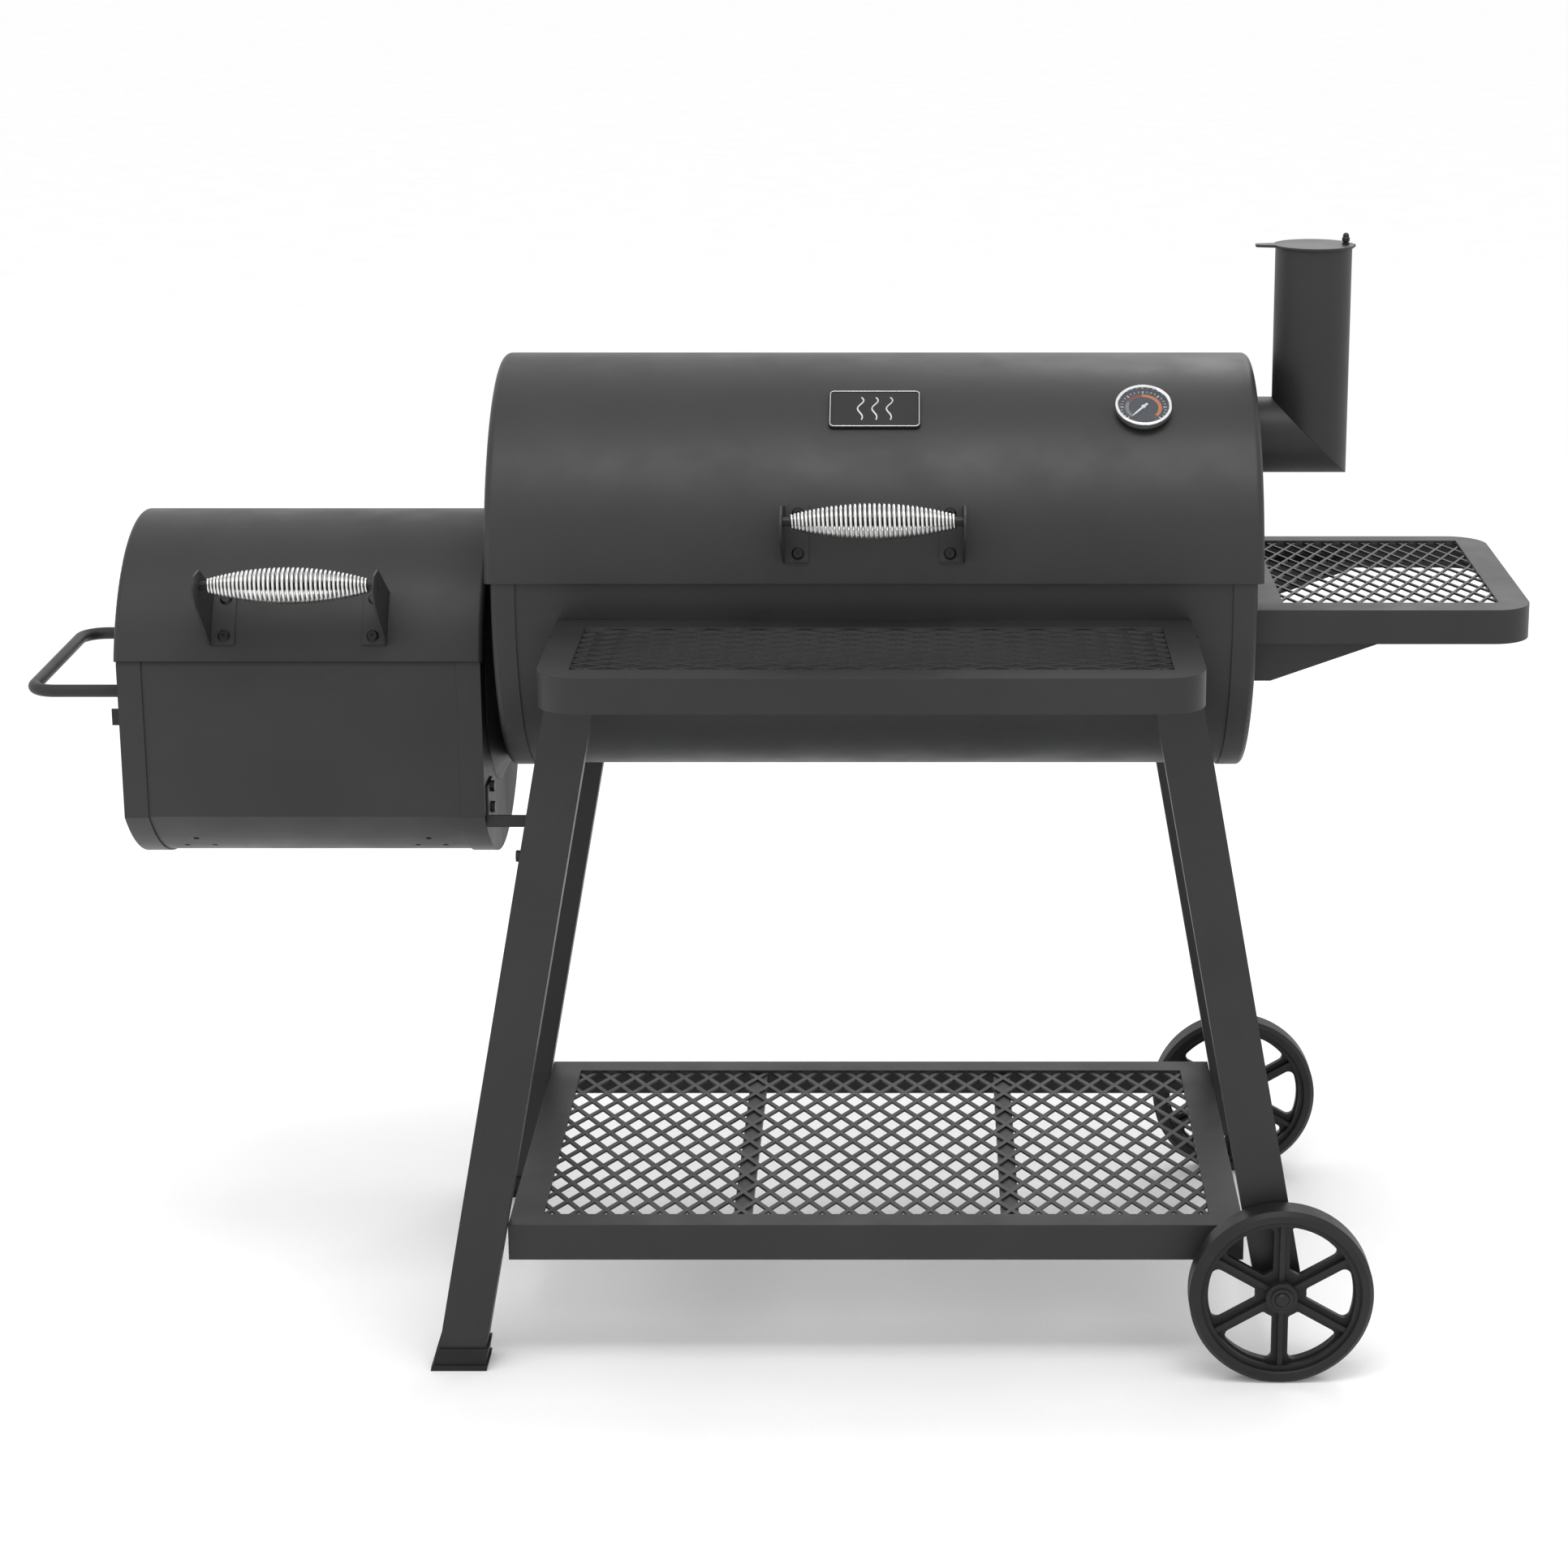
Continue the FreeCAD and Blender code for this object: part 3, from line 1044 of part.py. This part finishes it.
def side_shelf():
    """Shelf at the barrel's right end, on two gussets."""

    def outline(inset, inner_edge):
        half = "(side_half - %s)" % inset
        out = "(reach_right - %s)" % inset
        turn = "(front_round - %s)" % inset
        return [
            (inner_edge, half), (inner_edge, "-" + half), ("%s - %s" % (out, turn), "-" + half, turn),
            (out, "-%s + %s" % (half, turn)), (out, "%s - %s" % (half, turn), turn),
            ("%s - %s" % (out, turn), half),
        ]

    hole = rectangle("side_hole_in", "-side_hole_front", "side_hole_out", "side_hole_rear")
    body = tray("side_shelf_frame", outline("0", "disc_out"), outline("shelf_sheet", "disc_out + shelf_sheet"),
                hole, "side_top", "apron")
    node(body, "side_shelf_frame")
    mesh_panel("side_shelf_mesh", ("side_hole_in", "-side_hole_front"), ("side_hole_out", "side_hole_rear"),
               "side_top - shelf_sheet", "fine_short", "fine_long", "fine_strand", False)
    gussets = []
    for row in (-1, 1):
        body = new_body("gusset")
        outline = [
            ("disc_out", "gusset_low"), ("gusset_flat", "gusset_low"), ("gusset_end", "side_top - apron"),
            ("gusset_end", "side_top - apron + 12"), ("disc_out + 3", "side_top - apron + 12"),
            ("disc_out + 3", "side_top - apron"), ("disc_out", "side_top - apron"),
        ]
        start = "-(%d * gusset_y)" % row
        pad(body, new_sketch(body, "XZ", start, [outline]), "3")
        gussets.append(body)
    node(group(gussets), "side_shelf_gussets")


def lower_shelf():
    """Large shelf between the legs, with two bars under its mesh."""
    outline = rectangle("-low_half_x", "-low_half_y", "low_half_x", "low_half_y")
    inner = rectangle("-low_half_x + shelf_sheet", "-low_half_y + shelf_sheet",
                      "low_half_x - shelf_sheet", "low_half_y - shelf_sheet")
    hole = rectangle("-low_hole_x", "-low_hole_y", "low_hole_x", "low_hole_y")
    body = tray("lower_shelf_tray", outline, inner, hole, "low_top", "low_apron")
    mesh_panel("lower_shelf_mesh", ("-low_hole_x", "-low_hole_y"), ("low_hole_x", "low_hole_y"),
               "low_top - shelf_sheet", "coarse_short", "coarse_long", "coarse_strand", False, 1)
    bars = []
    level = "low_top - shelf_sheet - mesh_thick"
    for side in (-1, 1):
        middle = "%s * bar_x" % side
        bars.append(box(("%s - bar_width / 2" % middle, "-low_half_y + shelf_sheet", level + " - 12"),
                        ("%s + bar_width / 2" % middle, "low_half_y - shelf_sheet", level)))
    node(fuse(body, *bars), "lower_shelf_frame")


# ---------------------------------------------------------------- struts and bolts

def struts():
    """Bent brackets from the firebox's right end to the inner faces of the left legs."""
    pieces = []
    for row in (-1, 1):

        def strip(x_low, x_high, near, far, top):
            ends = (near, far) if row > 0 else ("-(%s)" % far, "-(%s)" % near)
            return box((x_low, ends[0], "strut_low"), (x_high, ends[1], top))

        flange = strip("-box_right", "-box_right + 3", "132", "strut_y", "706")
        arm = strip("-box_right", "-strut_end", "strut_y - 3", "strut_y", "strut_low + strut_rise")
        tail = strip("-strut_end - 3", "-strut_end", "strut_y - 3", "leg_front - leg_depth", "strut_low + strut_rise")
        pieces.append(fuse(flange, arm, tail))
    node(group(pieces), "firebox_struts")


def hex_bolt(along, start, shank, back):
    """Hexagon head and shank along an axis; back puts the head at the far end."""
    head = doc.addObject("Part::Prism", "hexagon")
    head.Polygon = 6
    head.Circumradius = 7.0
    head.Height = 5.0
    flip = FreeCAD.Rotation(FreeCAD.Vector(1, 0, 0), 180) if not back else FreeCAD.Rotation()
    head.Placement = FreeCAD.Placement(FreeCAD.Vector(), TURNS[along] * flip)
    place = dict(zip("XYZ", start))
    tip = dict(place)
    if back:
        tip[along] = "%s + %s" % (place[along], shank)
    bind_base(head, (tip["X"], tip["Y"], tip["Z"]))
    return fuse(head, rod(along, start, shank, "4"))


def frame_bolts():
    """Bolts of the struts, the left legs and the front shelf."""
    bolts = []
    for row in (-1, 1):
        for level in ("strut_low + 18", "strut_low + 44"):
            bolts.append(hex_bolt("X", ("-box_right - 1.9", "%d * 150" % row, level), "4.9", True))
        place = (leg_edge(-1, "0", "strut_low - 7"), "%d * (leg_front - 19)" % row, "strut_low - 7")
        bolts.append(hex_bolt("X", place, "5", False))
    for side in (-1, 1):
        start = "-front_half" if side < 0 else "front_half - 12"
        bolts.append(hex_bolt("X", (start, "-(leg_front + 14)", "front_top - 14"), "12", side > 0))
    node(group(bolts), "frame_bolts")


# ---------------------------------------------------------------- build and write

def build():
    """Make every sub-part."""
    fill_sheet()
    cook_chamber_wrap()
    end_disc("cook_chamber_left_end", -1, "duct_height", "duct_small - duct_sheet")
    end_disc("cook_chamber_right_end", 1, "stub_height", "pipe_radius")
    cook_lid()
    plaque()
    handle("cook_lid_handle", "0", "axis_height", "lid_radius", "cook_grip_angle", "cook_grip_lift")
    handle("firebox_lid_handle", "fire_grip_x", "hood_height", "hood_radius", "fire_grip_angle",
           "fire_grip_lift")
    all_hinges()
    gauge()
    grates()
    chimney()
    firebox()
    ash_door()
    cart_handle()
    legs_and_feet()
    wheel("front_wheel", -1, "wheel_gap")
    wheel("rear_wheel", 1, "rear_gap")
    axle_caps()
    front_shelf()
    side_shelf()
    lower_shelf()
    struts()
    frame_bolts()
    doc.recompute()


def check_document():
    """Stop on a failed object, a cut that removed nothing, or an unsound sub-part."""
    for obj in doc.Objects:
        if "Invalid" in obj.State or "Error" in obj.State:
            raise RuntimeError("failed object: %s in %s" % (obj.Label, [p.Label for p in obj.InList]))
        if obj.TypeId == "PartDesign::Pocket" and obj.BaseFeature.Shape.Volume - obj.Shape.Volume < 1:
            raise RuntimeError("empty cut: %s in %s" % (obj.Label, [p.Label for p in obj.InList]))
    for obj in nodes:
        if obj.Shape.isNull() or not obj.Shape.isValid() or obj.Shape.Volume <= 0:
            raise RuntimeError("unsound sub-part: %s" % obj.Label)


def write_parts():
    """Write one STEP file for each sub-part."""
    os.makedirs("parts", exist_ok=True)
    for obj in nodes:
        obj.Shape.exportStep("parts/%s.step" % obj.Label)
    print("%d sub-parts" % len(nodes))


build()
check_document()
write_parts()
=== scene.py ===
import json
import math

import bmesh
import bpy
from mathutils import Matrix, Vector


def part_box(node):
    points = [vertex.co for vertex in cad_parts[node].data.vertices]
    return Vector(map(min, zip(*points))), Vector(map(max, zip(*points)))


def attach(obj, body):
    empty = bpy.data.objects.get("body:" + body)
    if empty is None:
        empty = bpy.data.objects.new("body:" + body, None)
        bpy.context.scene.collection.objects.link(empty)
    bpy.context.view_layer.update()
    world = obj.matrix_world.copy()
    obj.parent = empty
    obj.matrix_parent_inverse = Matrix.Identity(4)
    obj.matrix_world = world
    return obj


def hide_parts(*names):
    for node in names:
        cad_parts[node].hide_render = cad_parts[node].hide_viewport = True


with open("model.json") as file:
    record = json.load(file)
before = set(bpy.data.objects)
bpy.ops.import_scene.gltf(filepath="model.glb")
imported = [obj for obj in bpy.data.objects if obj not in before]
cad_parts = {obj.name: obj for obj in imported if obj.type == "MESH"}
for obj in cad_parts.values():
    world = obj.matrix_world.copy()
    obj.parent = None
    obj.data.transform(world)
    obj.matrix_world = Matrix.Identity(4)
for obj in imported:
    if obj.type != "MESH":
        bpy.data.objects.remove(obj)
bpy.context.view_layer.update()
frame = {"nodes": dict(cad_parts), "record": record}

# Offset smoker in charcoal powder coat.  Everything is in metres, in the CAD model's own frame.

MM = 0.001
NODES = frame["nodes"]
JOINTS = {joint["name"]: joint for joint in frame["record"]["behaviour"]["joints"]}


# ---------------------------------------------------------------- node materials

SPECK_DARK = (0.9, 0.9, 0.9)
SPECK_LIGHT = (1.08, 1.08, 1.08)
NOISE_LOW = 0.3
NOISE_HIGH = 0.7


def new_material(name):
    """Empty node material with its Principled shader and output."""
    material = bpy.data.materials.new(name)
    material.use_nodes = True
    tree = material.node_tree
    tree.nodes.clear()
    output = tree.nodes.new("ShaderNodeOutputMaterial")
    shader = tree.nodes.new("ShaderNodeBsdfPrincipled")
    tree.links.new(shader.outputs["BSDF"], output.inputs["Surface"])
    return material, tree, shader


def add(tree, kind, **values):
    """Node of a kind with its settings and input values."""
    item = tree.nodes.new(kind)
    for key, value in values.items():
        if hasattr(item, key):
            setattr(item, key, value)
        else:
            item.inputs[key.replace("_", " ")].default_value = value
    return item


def noise(tree, scale, detail=3.0, roughness=0.55, stretch=(1, 1, 1)):
    """Noise in object space, with scale per metre."""
    place = tree.nodes.new("ShaderNodeTexCoord")
    mapping = add(tree, "ShaderNodeMapping")
    mapping.inputs["Scale"].default_value = stretch
    tree.links.new(place.outputs["Object"], mapping.inputs["Vector"])
    texture = add(tree, "ShaderNodeTexNoise", Scale=scale, Detail=detail, Roughness=roughness)
    tree.links.new(mapping.outputs["Vector"], texture.inputs["Vector"])
    return texture.outputs["Fac"]


def ramp(tree, source, stops):
    """Colour ramp with stops of (place, colour)."""
    item = tree.nodes.new("ShaderNodeValToRGB")
    elements = item.color_ramp.elements
    while len(elements) < len(stops):
        elements.new(0.5)
    for element, (place, colour) in zip(elements, stops):
        element.position = place
        element.color = (*colour, 1)
    tree.links.new(source, item.inputs["Fac"])
    return item.outputs["Color"]


def spread(tree, source, low, high):
    """Middle range of a noise stretched between two values."""
    item = add(tree, "ShaderNodeMapRange")
    item.inputs["From Min"].default_value = NOISE_LOW
    item.inputs["From Max"].default_value = NOISE_HIGH
    item.inputs["To Min"].default_value = low
    item.inputs["To Max"].default_value = high
    tree.links.new(source, item.inputs["Value"])
    return item.outputs["Result"]


def wander(tree, shader, source, rough, fall, rise):
    """Roughness that drifts below and above its usual value."""
    tree.links.new(spread(tree, source, rough - fall, rough + rise), shader.inputs["Roughness"])


def bump(tree, shader, source, depth, below=None):
    """Fine relief from a height source, over another normal if one is given."""
    item = add(tree, "ShaderNodeBump", Strength=1.0, Distance=depth)
    tree.links.new(source, item.inputs["Height"])
    if below is not None:
        tree.links.new(below, item.inputs["Normal"])
    tree.links.new(item.outputs["Normal"], shader.inputs["Normal"])


def shade(colour, factor):
    """Colour made lighter or darker."""
    return tuple(channel * factor for channel in colour)


def rounded_edges(tree, radius):
    """Normal that softens sharp folds by a small radius."""
    item = add(tree, "ShaderNodeBevel", samples=4, Radius=radius)
    return item.outputs["Normal"]


def coated(name, colour, rough, grain=0.00006, patch=0.12, specular=0.32, fold=0.0):
    """Coating with a fine orange-peel grain, faint cloudy patches and softened folds."""
    material, tree, shader = new_material(name)
    cloud = noise(tree, 5.5, 4.0)
    stops = [(NOISE_LOW, shade(colour, 1 - patch)), (NOISE_HIGH, shade(colour, 1 + patch))]
    tone = ramp(tree, cloud, stops)
    speck = ramp(tree, noise(tree, 900, 2.0), [(0.35, SPECK_DARK), (0.68, SPECK_LIGHT)])
    blend = add(tree, "ShaderNodeMix", data_type="RGBA", blend_type="MULTIPLY")
    blend.inputs["Factor"].default_value = 1.0
    tree.links.new(tone, blend.inputs["A"])
    tree.links.new(speck, blend.inputs["B"])
    tree.links.new(blend.outputs["Result"], shader.inputs["Base Color"])
    wander(tree, shader, noise(tree, 14, 5.0), rough, 0.05, 0.06)
    shader.inputs["Specular IOR Level"].default_value = specular
    below = rounded_edges(tree, fold) if fold else None
    bump(tree, shader, noise(tree, 1400, 2.0, 0.5), grain, below=below)
    return material


def metal(name, colour, rough, streak=(1, 1, 1), grain=0.00002):
    """Bare or plated metal with fine drawn streaks and smudged roughness."""
    material, tree, shader = new_material(name)
    stops = [(NOISE_LOW, shade(colour, 0.82)), (NOISE_HIGH, colour)]
    tone = ramp(tree, noise(tree, 60, 4.0, 0.6, streak), stops)
    tree.links.new(tone, shader.inputs["Base Color"])
    shader.inputs["Metallic"].default_value = 1.0
    wander(tree, shader, noise(tree, 45, 4.0), rough, 0.05, 0.08)
    bump(tree, shader, noise(tree, 1800, 2.0, 0.5, streak), grain)
    return material


def plastic(name, colour, rough, grain=0.00008):
    """Moulded plastic or rubber with a spark-eroded grain and dusty low spots."""
    material, tree, shader = new_material(name)
    dust = noise(tree, 18, 5.0)
    tone = ramp(tree, dust, [(0.35, colour), (0.8, shade(colour, 1.5))])
    tree.links.new(tone, shader.inputs["Base Color"])
    wander(tree, shader, noise(tree, 30, 4.0), rough, 0.06, 0.08)
    shader.inputs["Specular IOR Level"].default_value = 0.28
    bump(tree, shader, noise(tree, 1100, 3.0, 0.6), grain)
    return material


def glass(name):
    """Clear gauge glass with a faint film of dust."""
    material, tree, shader = new_material(name)
    shader.inputs["Base Color"].default_value = (0.96, 0.98, 1.0, 1)
    shader.inputs["Transmission Weight"].default_value = 1.0
    shader.inputs["IOR"].default_value = 1.45
    tree.links.new(spread(tree, noise(tree, 120, 3.0), 0.01, 0.05), shader.inputs["Roughness"])
    return material


MATERIALS = {
    "powder_coat": coated("powder_coat", (0.021, 0.0213, 0.0218), 0.45, fold=0.0012),
    "powder_coat_frame": coated("powder_coat_frame", (0.0195, 0.0197, 0.02), 0.47, fold=0.0014),
    "mesh_coat": coated("mesh_coat", (0.022, 0.0222, 0.0225), 0.42),
    "sprung_wire": metal("sprung_wire", (0.8, 0.8, 0.79), 0.2),
    "bezel_chrome": metal("bezel_chrome", (0.86, 0.86, 0.87), 0.12),
    "dark_bolt": coated("dark_bolt", (0.009, 0.009, 0.0095), 0.36, 0.00003),
    "hinge_steel": metal("hinge_steel", (0.42, 0.42, 0.43), 0.34, (1, 14, 14)),
    "grate_iron": coated("grate_iron", (0.024, 0.022, 0.02), 0.5, 0.00012, 0.25),
    "dial_face": coated("dial_face", (0.012, 0.018, 0.034), 0.55, 0.00002),
    "needle_white": coated("needle_white", (0.82, 0.82, 0.8), 0.4, 0.00001, 0.04),
    "gauge_glass": glass("gauge_glass"),
    "plaque": coated("plaque", (0.012, 0.012, 0.0125), 0.33, 0.00003),
    "wheel_plastic": plastic("wheel_plastic", (0.0105, 0.0105, 0.011), 0.48),
    "foot_rubber": plastic("foot_rubber", (0.009, 0.009, 0.0095), 0.56, 0.00012),
}


def smooth_by_angle(piece, degrees=32):
    """Smooth shading that keeps real corners sharp."""
    mesh = piece.data
    mesh.shade_smooth()
    mesh.set_sharp_from_angle(angle=math.radians(degrees))


def finish_cad_nodes():
    """Every CAD node keeps its mesh and gets its slot's material."""
    for part in frame["record"]["subparts"]:
        piece = NODES[part["node"]]
        piece.data.materials.clear()
        piece.data.materials.append(MATERIALS[part["material_slot"]])
        smooth_by_angle(piece)


finish_cad_nodes()


# ---------------------------------------------------------------- swept pieces

def centre_of(node):
    """Middle of a CAD node's box."""
    low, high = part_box(node)
    return (low + high) / 2


def swept(name, strips, material, body):
    """Piece skinned over strips of rings; a strip is (rings, whether it closes on itself)."""
    form = bmesh.new()
    for rings, closed in strips:
        rows = [[form.verts.new(point) for point in ring] for ring in rings]
        pairs = list(zip(rows, rows[1:])) + ([(rows[-1], rows[0])] if closed else [])
        for row, following in pairs:
            for index in range(len(row)):
                back = index - 1
                form.faces.new((row[back], row[index], following[index], following[back]))
        if not closed:
            form.faces.new(rows[0])
            form.faces.new(list(reversed(rows[-1])))
    bmesh.ops.recalc_face_normals(form, faces=form.faces)
    mesh = bpy.data.meshes.new(name)
    form.to_mesh(mesh)
    form.free()
    piece = bpy.data.objects.new(name, mesh)
    bpy.context.scene.collection.objects.link(piece)
    mesh.materials.append(material)
    smooth_by_angle(piece, 48)
    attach(piece, body)
    return piece


def wire_rings(points, radius, closed=False, sides=10):
    """Round rings square to a path."""
    rings = []
    count = len(points)
    turns = [2 * math.pi * side / sides for side in range(sides)]
    across = None
    for index, point in enumerate(points):
        before = points[index - 1] if index or closed else point
        after = points[(index + 1) % count] if index + 1 < count or closed else point
        along = (after - before).normalized()
        across = across or along.orthogonal()
        across = (across - along * across.dot(along)).normalized()
        upright = along.cross(across)
        spokes = [math.cos(turn) * across + math.sin(turn) * upright for turn in turns]
        rings.append([point + radius * spoke for spoke in spokes])
    return rings


# ---------------------------------------------------------------- handle coils

COIL_TURNS = 38
COIL_STEPS = 26  # points to a turn
COIL_WIRE = 1.75 * MM  # radius of the wire
COIL_TIP = 8.0 * MM  # outer radius at both ends
COIL_PACK = 0.12  # how much closer the turns are at the ends


def coil_path(middle, half, belly):
    """Barrel-shaped helix along X, with its turns closer together at both ends."""
    fall = belly - COIL_TIP
    bulge = (half ** 2 + fall ** 2) / (2 * fall)
    reach = half - COIL_WIRE
    points = []
    total = COIL_TURNS * COIL_STEPS
    for index in range(total + 1):
        part = 2 * index / total - 1
        shift = reach * ((1 + COIL_PACK) * part - COIL_PACK * part ** 3)
        radius = belly - (bulge - math.sqrt(bulge ** 2 - shift ** 2)) - COIL_WIRE
        turn = 2 * math.pi * index / COIL_STEPS
        points.append(middle + Vector((shift, radius * math.cos(turn), radius * math.sin(turn))))
    return points


def handle_coil(lid):
    """Sprung wire wound round the rod of a lid's handle."""
    node = lid + "_handle_coil"
    low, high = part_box(node)
    points = coil_path(centre_of(node), (high.x - low.x) / 2, (high.y - low.y) / 2)
    strip = (wire_rings(points, COIL_WIRE), False)
    piece = swept(lid + "_wire_coil", [strip], MATERIALS["sprung_wire"], lid)
    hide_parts(node)


handle_coil("cook_lid")
handle_coil("firebox_lid")


# ---------------------------------------------------------------- gauge print

GAUGE = JOINTS["thermometer_needle_turn"]
GAUGE_OUT = -Vector(GAUGE["axis"])
GAUGE_UP = Vector((0, GAUGE_OUT.z, -GAUGE_OUT.y))
DIAL_LEVEL = 6.8 * MM
SCALE_END = 132
BAND_IN, BAND_OUT = 17.5 * MM, 21.5 * MM
TICK_STEP = 11
TICK_OUT = 27.2 * MM
TICK_LONG, TICK_SHORT = 23.2 * MM, 25.0 * MM
TICK_HALF = 0.35 / 26
INK = 0.15 * MM


def dial_point(radius, clock, rise):
    """Point over the dial, by its radius and its angle clockwise from the top."""
    turn = math.radians(clock)
    across = Vector((math.sin(turn), 0, 0)) + math.cos(turn) * GAUGE_UP
    return Vector(GAUGE["pos_m"]) + radius * across + (DIAL_LEVEL + rise) * GAUGE_OUT


def dial_band(inner, outer, start, end):
    """Rings of a printed band between two radii and two angles."""
    steps = max(1, int(abs(end - start) / 3))
    rings = []
    for index in range(steps + 1):
        clock = start + (end - start) * index / steps
        rings.append([dial_point(inner, clock, 0), dial_point(outer, clock, 0),
                      dial_point(outer, clock, INK), dial_point(inner, clock, INK)])
    return rings, False


def dial_print():
    """Three coloured heat bands and the white ticks of a scale, with no lettering."""
    bands = (
        ("dial_band_cool", -SCALE_END, -62, (0.2, 0.21, 0.22)),
        ("dial_band_smoke", -58, -8, (0.2, 0.018, 0.014)),
        ("dial_band_hot", -4, SCALE_END, (0.62, 0.16, 0.02)),
    )
    for name, start, end, colour in bands:
        ink = coated(name, colour, 0.5, 0.00001, 0.06)
        swept(name, [dial_band(BAND_IN, BAND_OUT, start, end)], ink, "cook_lid")
    ticks = []
    for index in range(2 * SCALE_END // TICK_STEP + 1):
        clock = -SCALE_END + TICK_STEP * index
        main = index % 4 == 0
        half = math.degrees(TICK_HALF) * (1.8 if main else 1.0)
        ticks.append(dial_band(TICK_LONG if main else TICK_SHORT, TICK_OUT, clock - half, clock + half))
    swept("dial_ticks", ticks, MATERIALS["needle_white"], "cook_lid")


dial_print()


# ---------------------------------------------------------------- nameplate relief

LID_AXIS = centre_of("cook_chamber_right_end")
PLATE_LOW, PLATE_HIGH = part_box("nameplate")
PLATE_TURN = math.radians(123.6)
PLATE_OUT = Vector((0, math.cos(PLATE_TURN), math.sin(PLATE_TURN)))
PLATE_UP = Vector((0, PLATE_OUT.z, -PLATE_OUT.y))
PLATE_HALF_TALL = 31 * MM
FIELD_RADIUS = 256.2 * MM
BORDER_RADIUS = 258.0 * MM
RIM_INSET = 1.7 * MM
RIM_ROUND = 4.5 * MM
RIM_WIRE = 0.55 * MM
SMOKE_WIRE = 1.1 * MM
SMOKE_TALL = 38 * MM
SMOKE_SWAY = 4.2 * MM
SMOKE_GAP = 17 * MM


def plate_point(x, rise, radius):
    """Point on the curved nameplate, by its place across and up the plate."""
    depth = math.sqrt(radius ** 2 - rise ** 2)
    middle = (PLATE_LOW.x + PLATE_HIGH.x) / 2
    return Vector((middle + x, LID_AXIS.y, LID_AXIS.z)) + depth * PLATE_OUT + rise * PLATE_UP


def border_path(half_x, half_y):
    """Rounded rectangle on the plate's rim."""
    arcs = []
    for quarter, (side_x, side_y) in enumerate(((1, 1), (-1, 1), (-1, -1), (1, -1))):
        middle = Vector((side_x * (half_x - RIM_ROUND), side_y * (half_y - RIM_ROUND)))
        turns = [math.radians(90 * quarter + 90 * step / 8) for step in range(9)]
        arcs.append([middle + RIM_ROUND * Vector((math.cos(turn), math.sin(turn))) for turn in turns])
    points = []
    for arc, following in zip(arcs, arcs[1:] + arcs[:1]):
        points += arc
        points += [arc[-1].lerp(following[0], step / 8) for step in range(1, 8)]
    return [plate_point(x, y, BORDER_RADIUS) for x, y in points]


def smoke_line(x):
    """One wavy line of smoke, standing up the plate."""
    points = []
    for step in range(41):
        part = step / 40
        sway = SMOKE_SWAY * math.sin(2 * math.pi * (1.35 * part + 0.1)) * (0.55 + 0.45 * part)
        points.append(plate_point(x + sway, SMOKE_TALL * (part - 0.5), FIELD_RADIUS))
    return wire_rings(points, SMOKE_WIRE, sides=8), False


def nameplate_relief():
    """Bright line round the rim and three lines of smoke on the plate."""
    bright = metal("plate_bright", (0.7, 0.7, 0.69), 0.28)
    half_x = (PLATE_HIGH.x - PLATE_LOW.x) / 2 - RIM_INSET
    path = border_path(half_x, PLATE_HALF_TALL - RIM_INSET)
    rim = (wire_rings(path, RIM_WIRE, True, 8), True)
    swept("nameplate_rim_line", [rim], bright, "cook_lid")
    lines = [smoke_line(side * SMOKE_GAP) for side in (-1, 0, 1)]
    swept("nameplate_smoke_lines", lines, bright, "cook_lid")


nameplate_relief()


# ---------------------------------------------------------------- studio

FLOOR_HALF = 60.0
LAMP_AIM = Vector((0, 0, 0.7))
LAMPS = (
    ("key", (0.3, -1.6, 4.6), (2.6, 1.4), 70),
    ("fill", (-3.6, -2.4, 2.0), (1.8, 1.8), 12),
    ("rim", (1.5, 3.2, 3.4), (2.2, 1.2), 30),
)
EYE = (0.1758, -4.1319, 1.8776)
EYE_DOWN = 14.542


def studio_floor():
    """Pale floor that reaches past the horizon of the view."""
    mesh = bpy.data.meshes.new("floor")
    corners = [(-FLOOR_HALF, -FLOOR_HALF, 0), (FLOOR_HALF, -FLOOR_HALF, 0),
               (FLOOR_HALF, FLOOR_HALF, 0), (-FLOOR_HALF, FLOOR_HALF, 0)]
    mesh.from_pydata(corners, [], [(0, 1, 2, 3)])
    floor = bpy.data.objects.new("floor", mesh)
    bpy.context.scene.collection.objects.link(floor)
    mesh.materials.append(coated("floor_paint", (0.95, 0.95, 0.95), 0.8, 0.00001, 0.01, 0.1))


def surroundings():
    """Even white light from all round."""
    world = bpy.data.worlds.new("studio")
    world.use_nodes = True
    background = world.node_tree.nodes["Background"]
    background.inputs["Color"].default_value = (1, 1, 1, 1)
    background.inputs["Strength"].default_value = 1.06
    bpy.context.scene.world = world
    bpy.context.scene.view_settings.view_transform = "Standard"


def lamps():
    """Three soft area lights that face the object."""
    for name, place, size, power in LAMPS:
        lamp = bpy.data.lights.new(name, "AREA")
        lamp.shape = "RECTANGLE"
        lamp.size, lamp.size_y = size
        lamp.energy = power
        light = bpy.data.objects.new(name, lamp)
        light.location = place
        aim = LAMP_AIM - Vector(place)
        light.rotation_euler = aim.to_track_quat("-Z", "Y").to_euler()
        bpy.context.scene.collection.objects.link(light)


def camera():
    """Long lens in front of the object, a little above it, level from side to side."""
    lens = bpy.data.cameras.new("camera")
    lens.sensor_width = 36.0
    lens.lens = 80.33
    lens.shift_x = -0.0865
    lens.shift_y = -0.0639
    eye = bpy.data.objects.new("camera", lens)
    eye.location = EYE
    eye.rotation_euler = (math.radians(90 - EYE_DOWN), 0, 0)
    bpy.context.scene.collection.objects.link(eye)
    bpy.context.scene.camera = eye


studio_floor()
surroundings()
lamps()
camera()
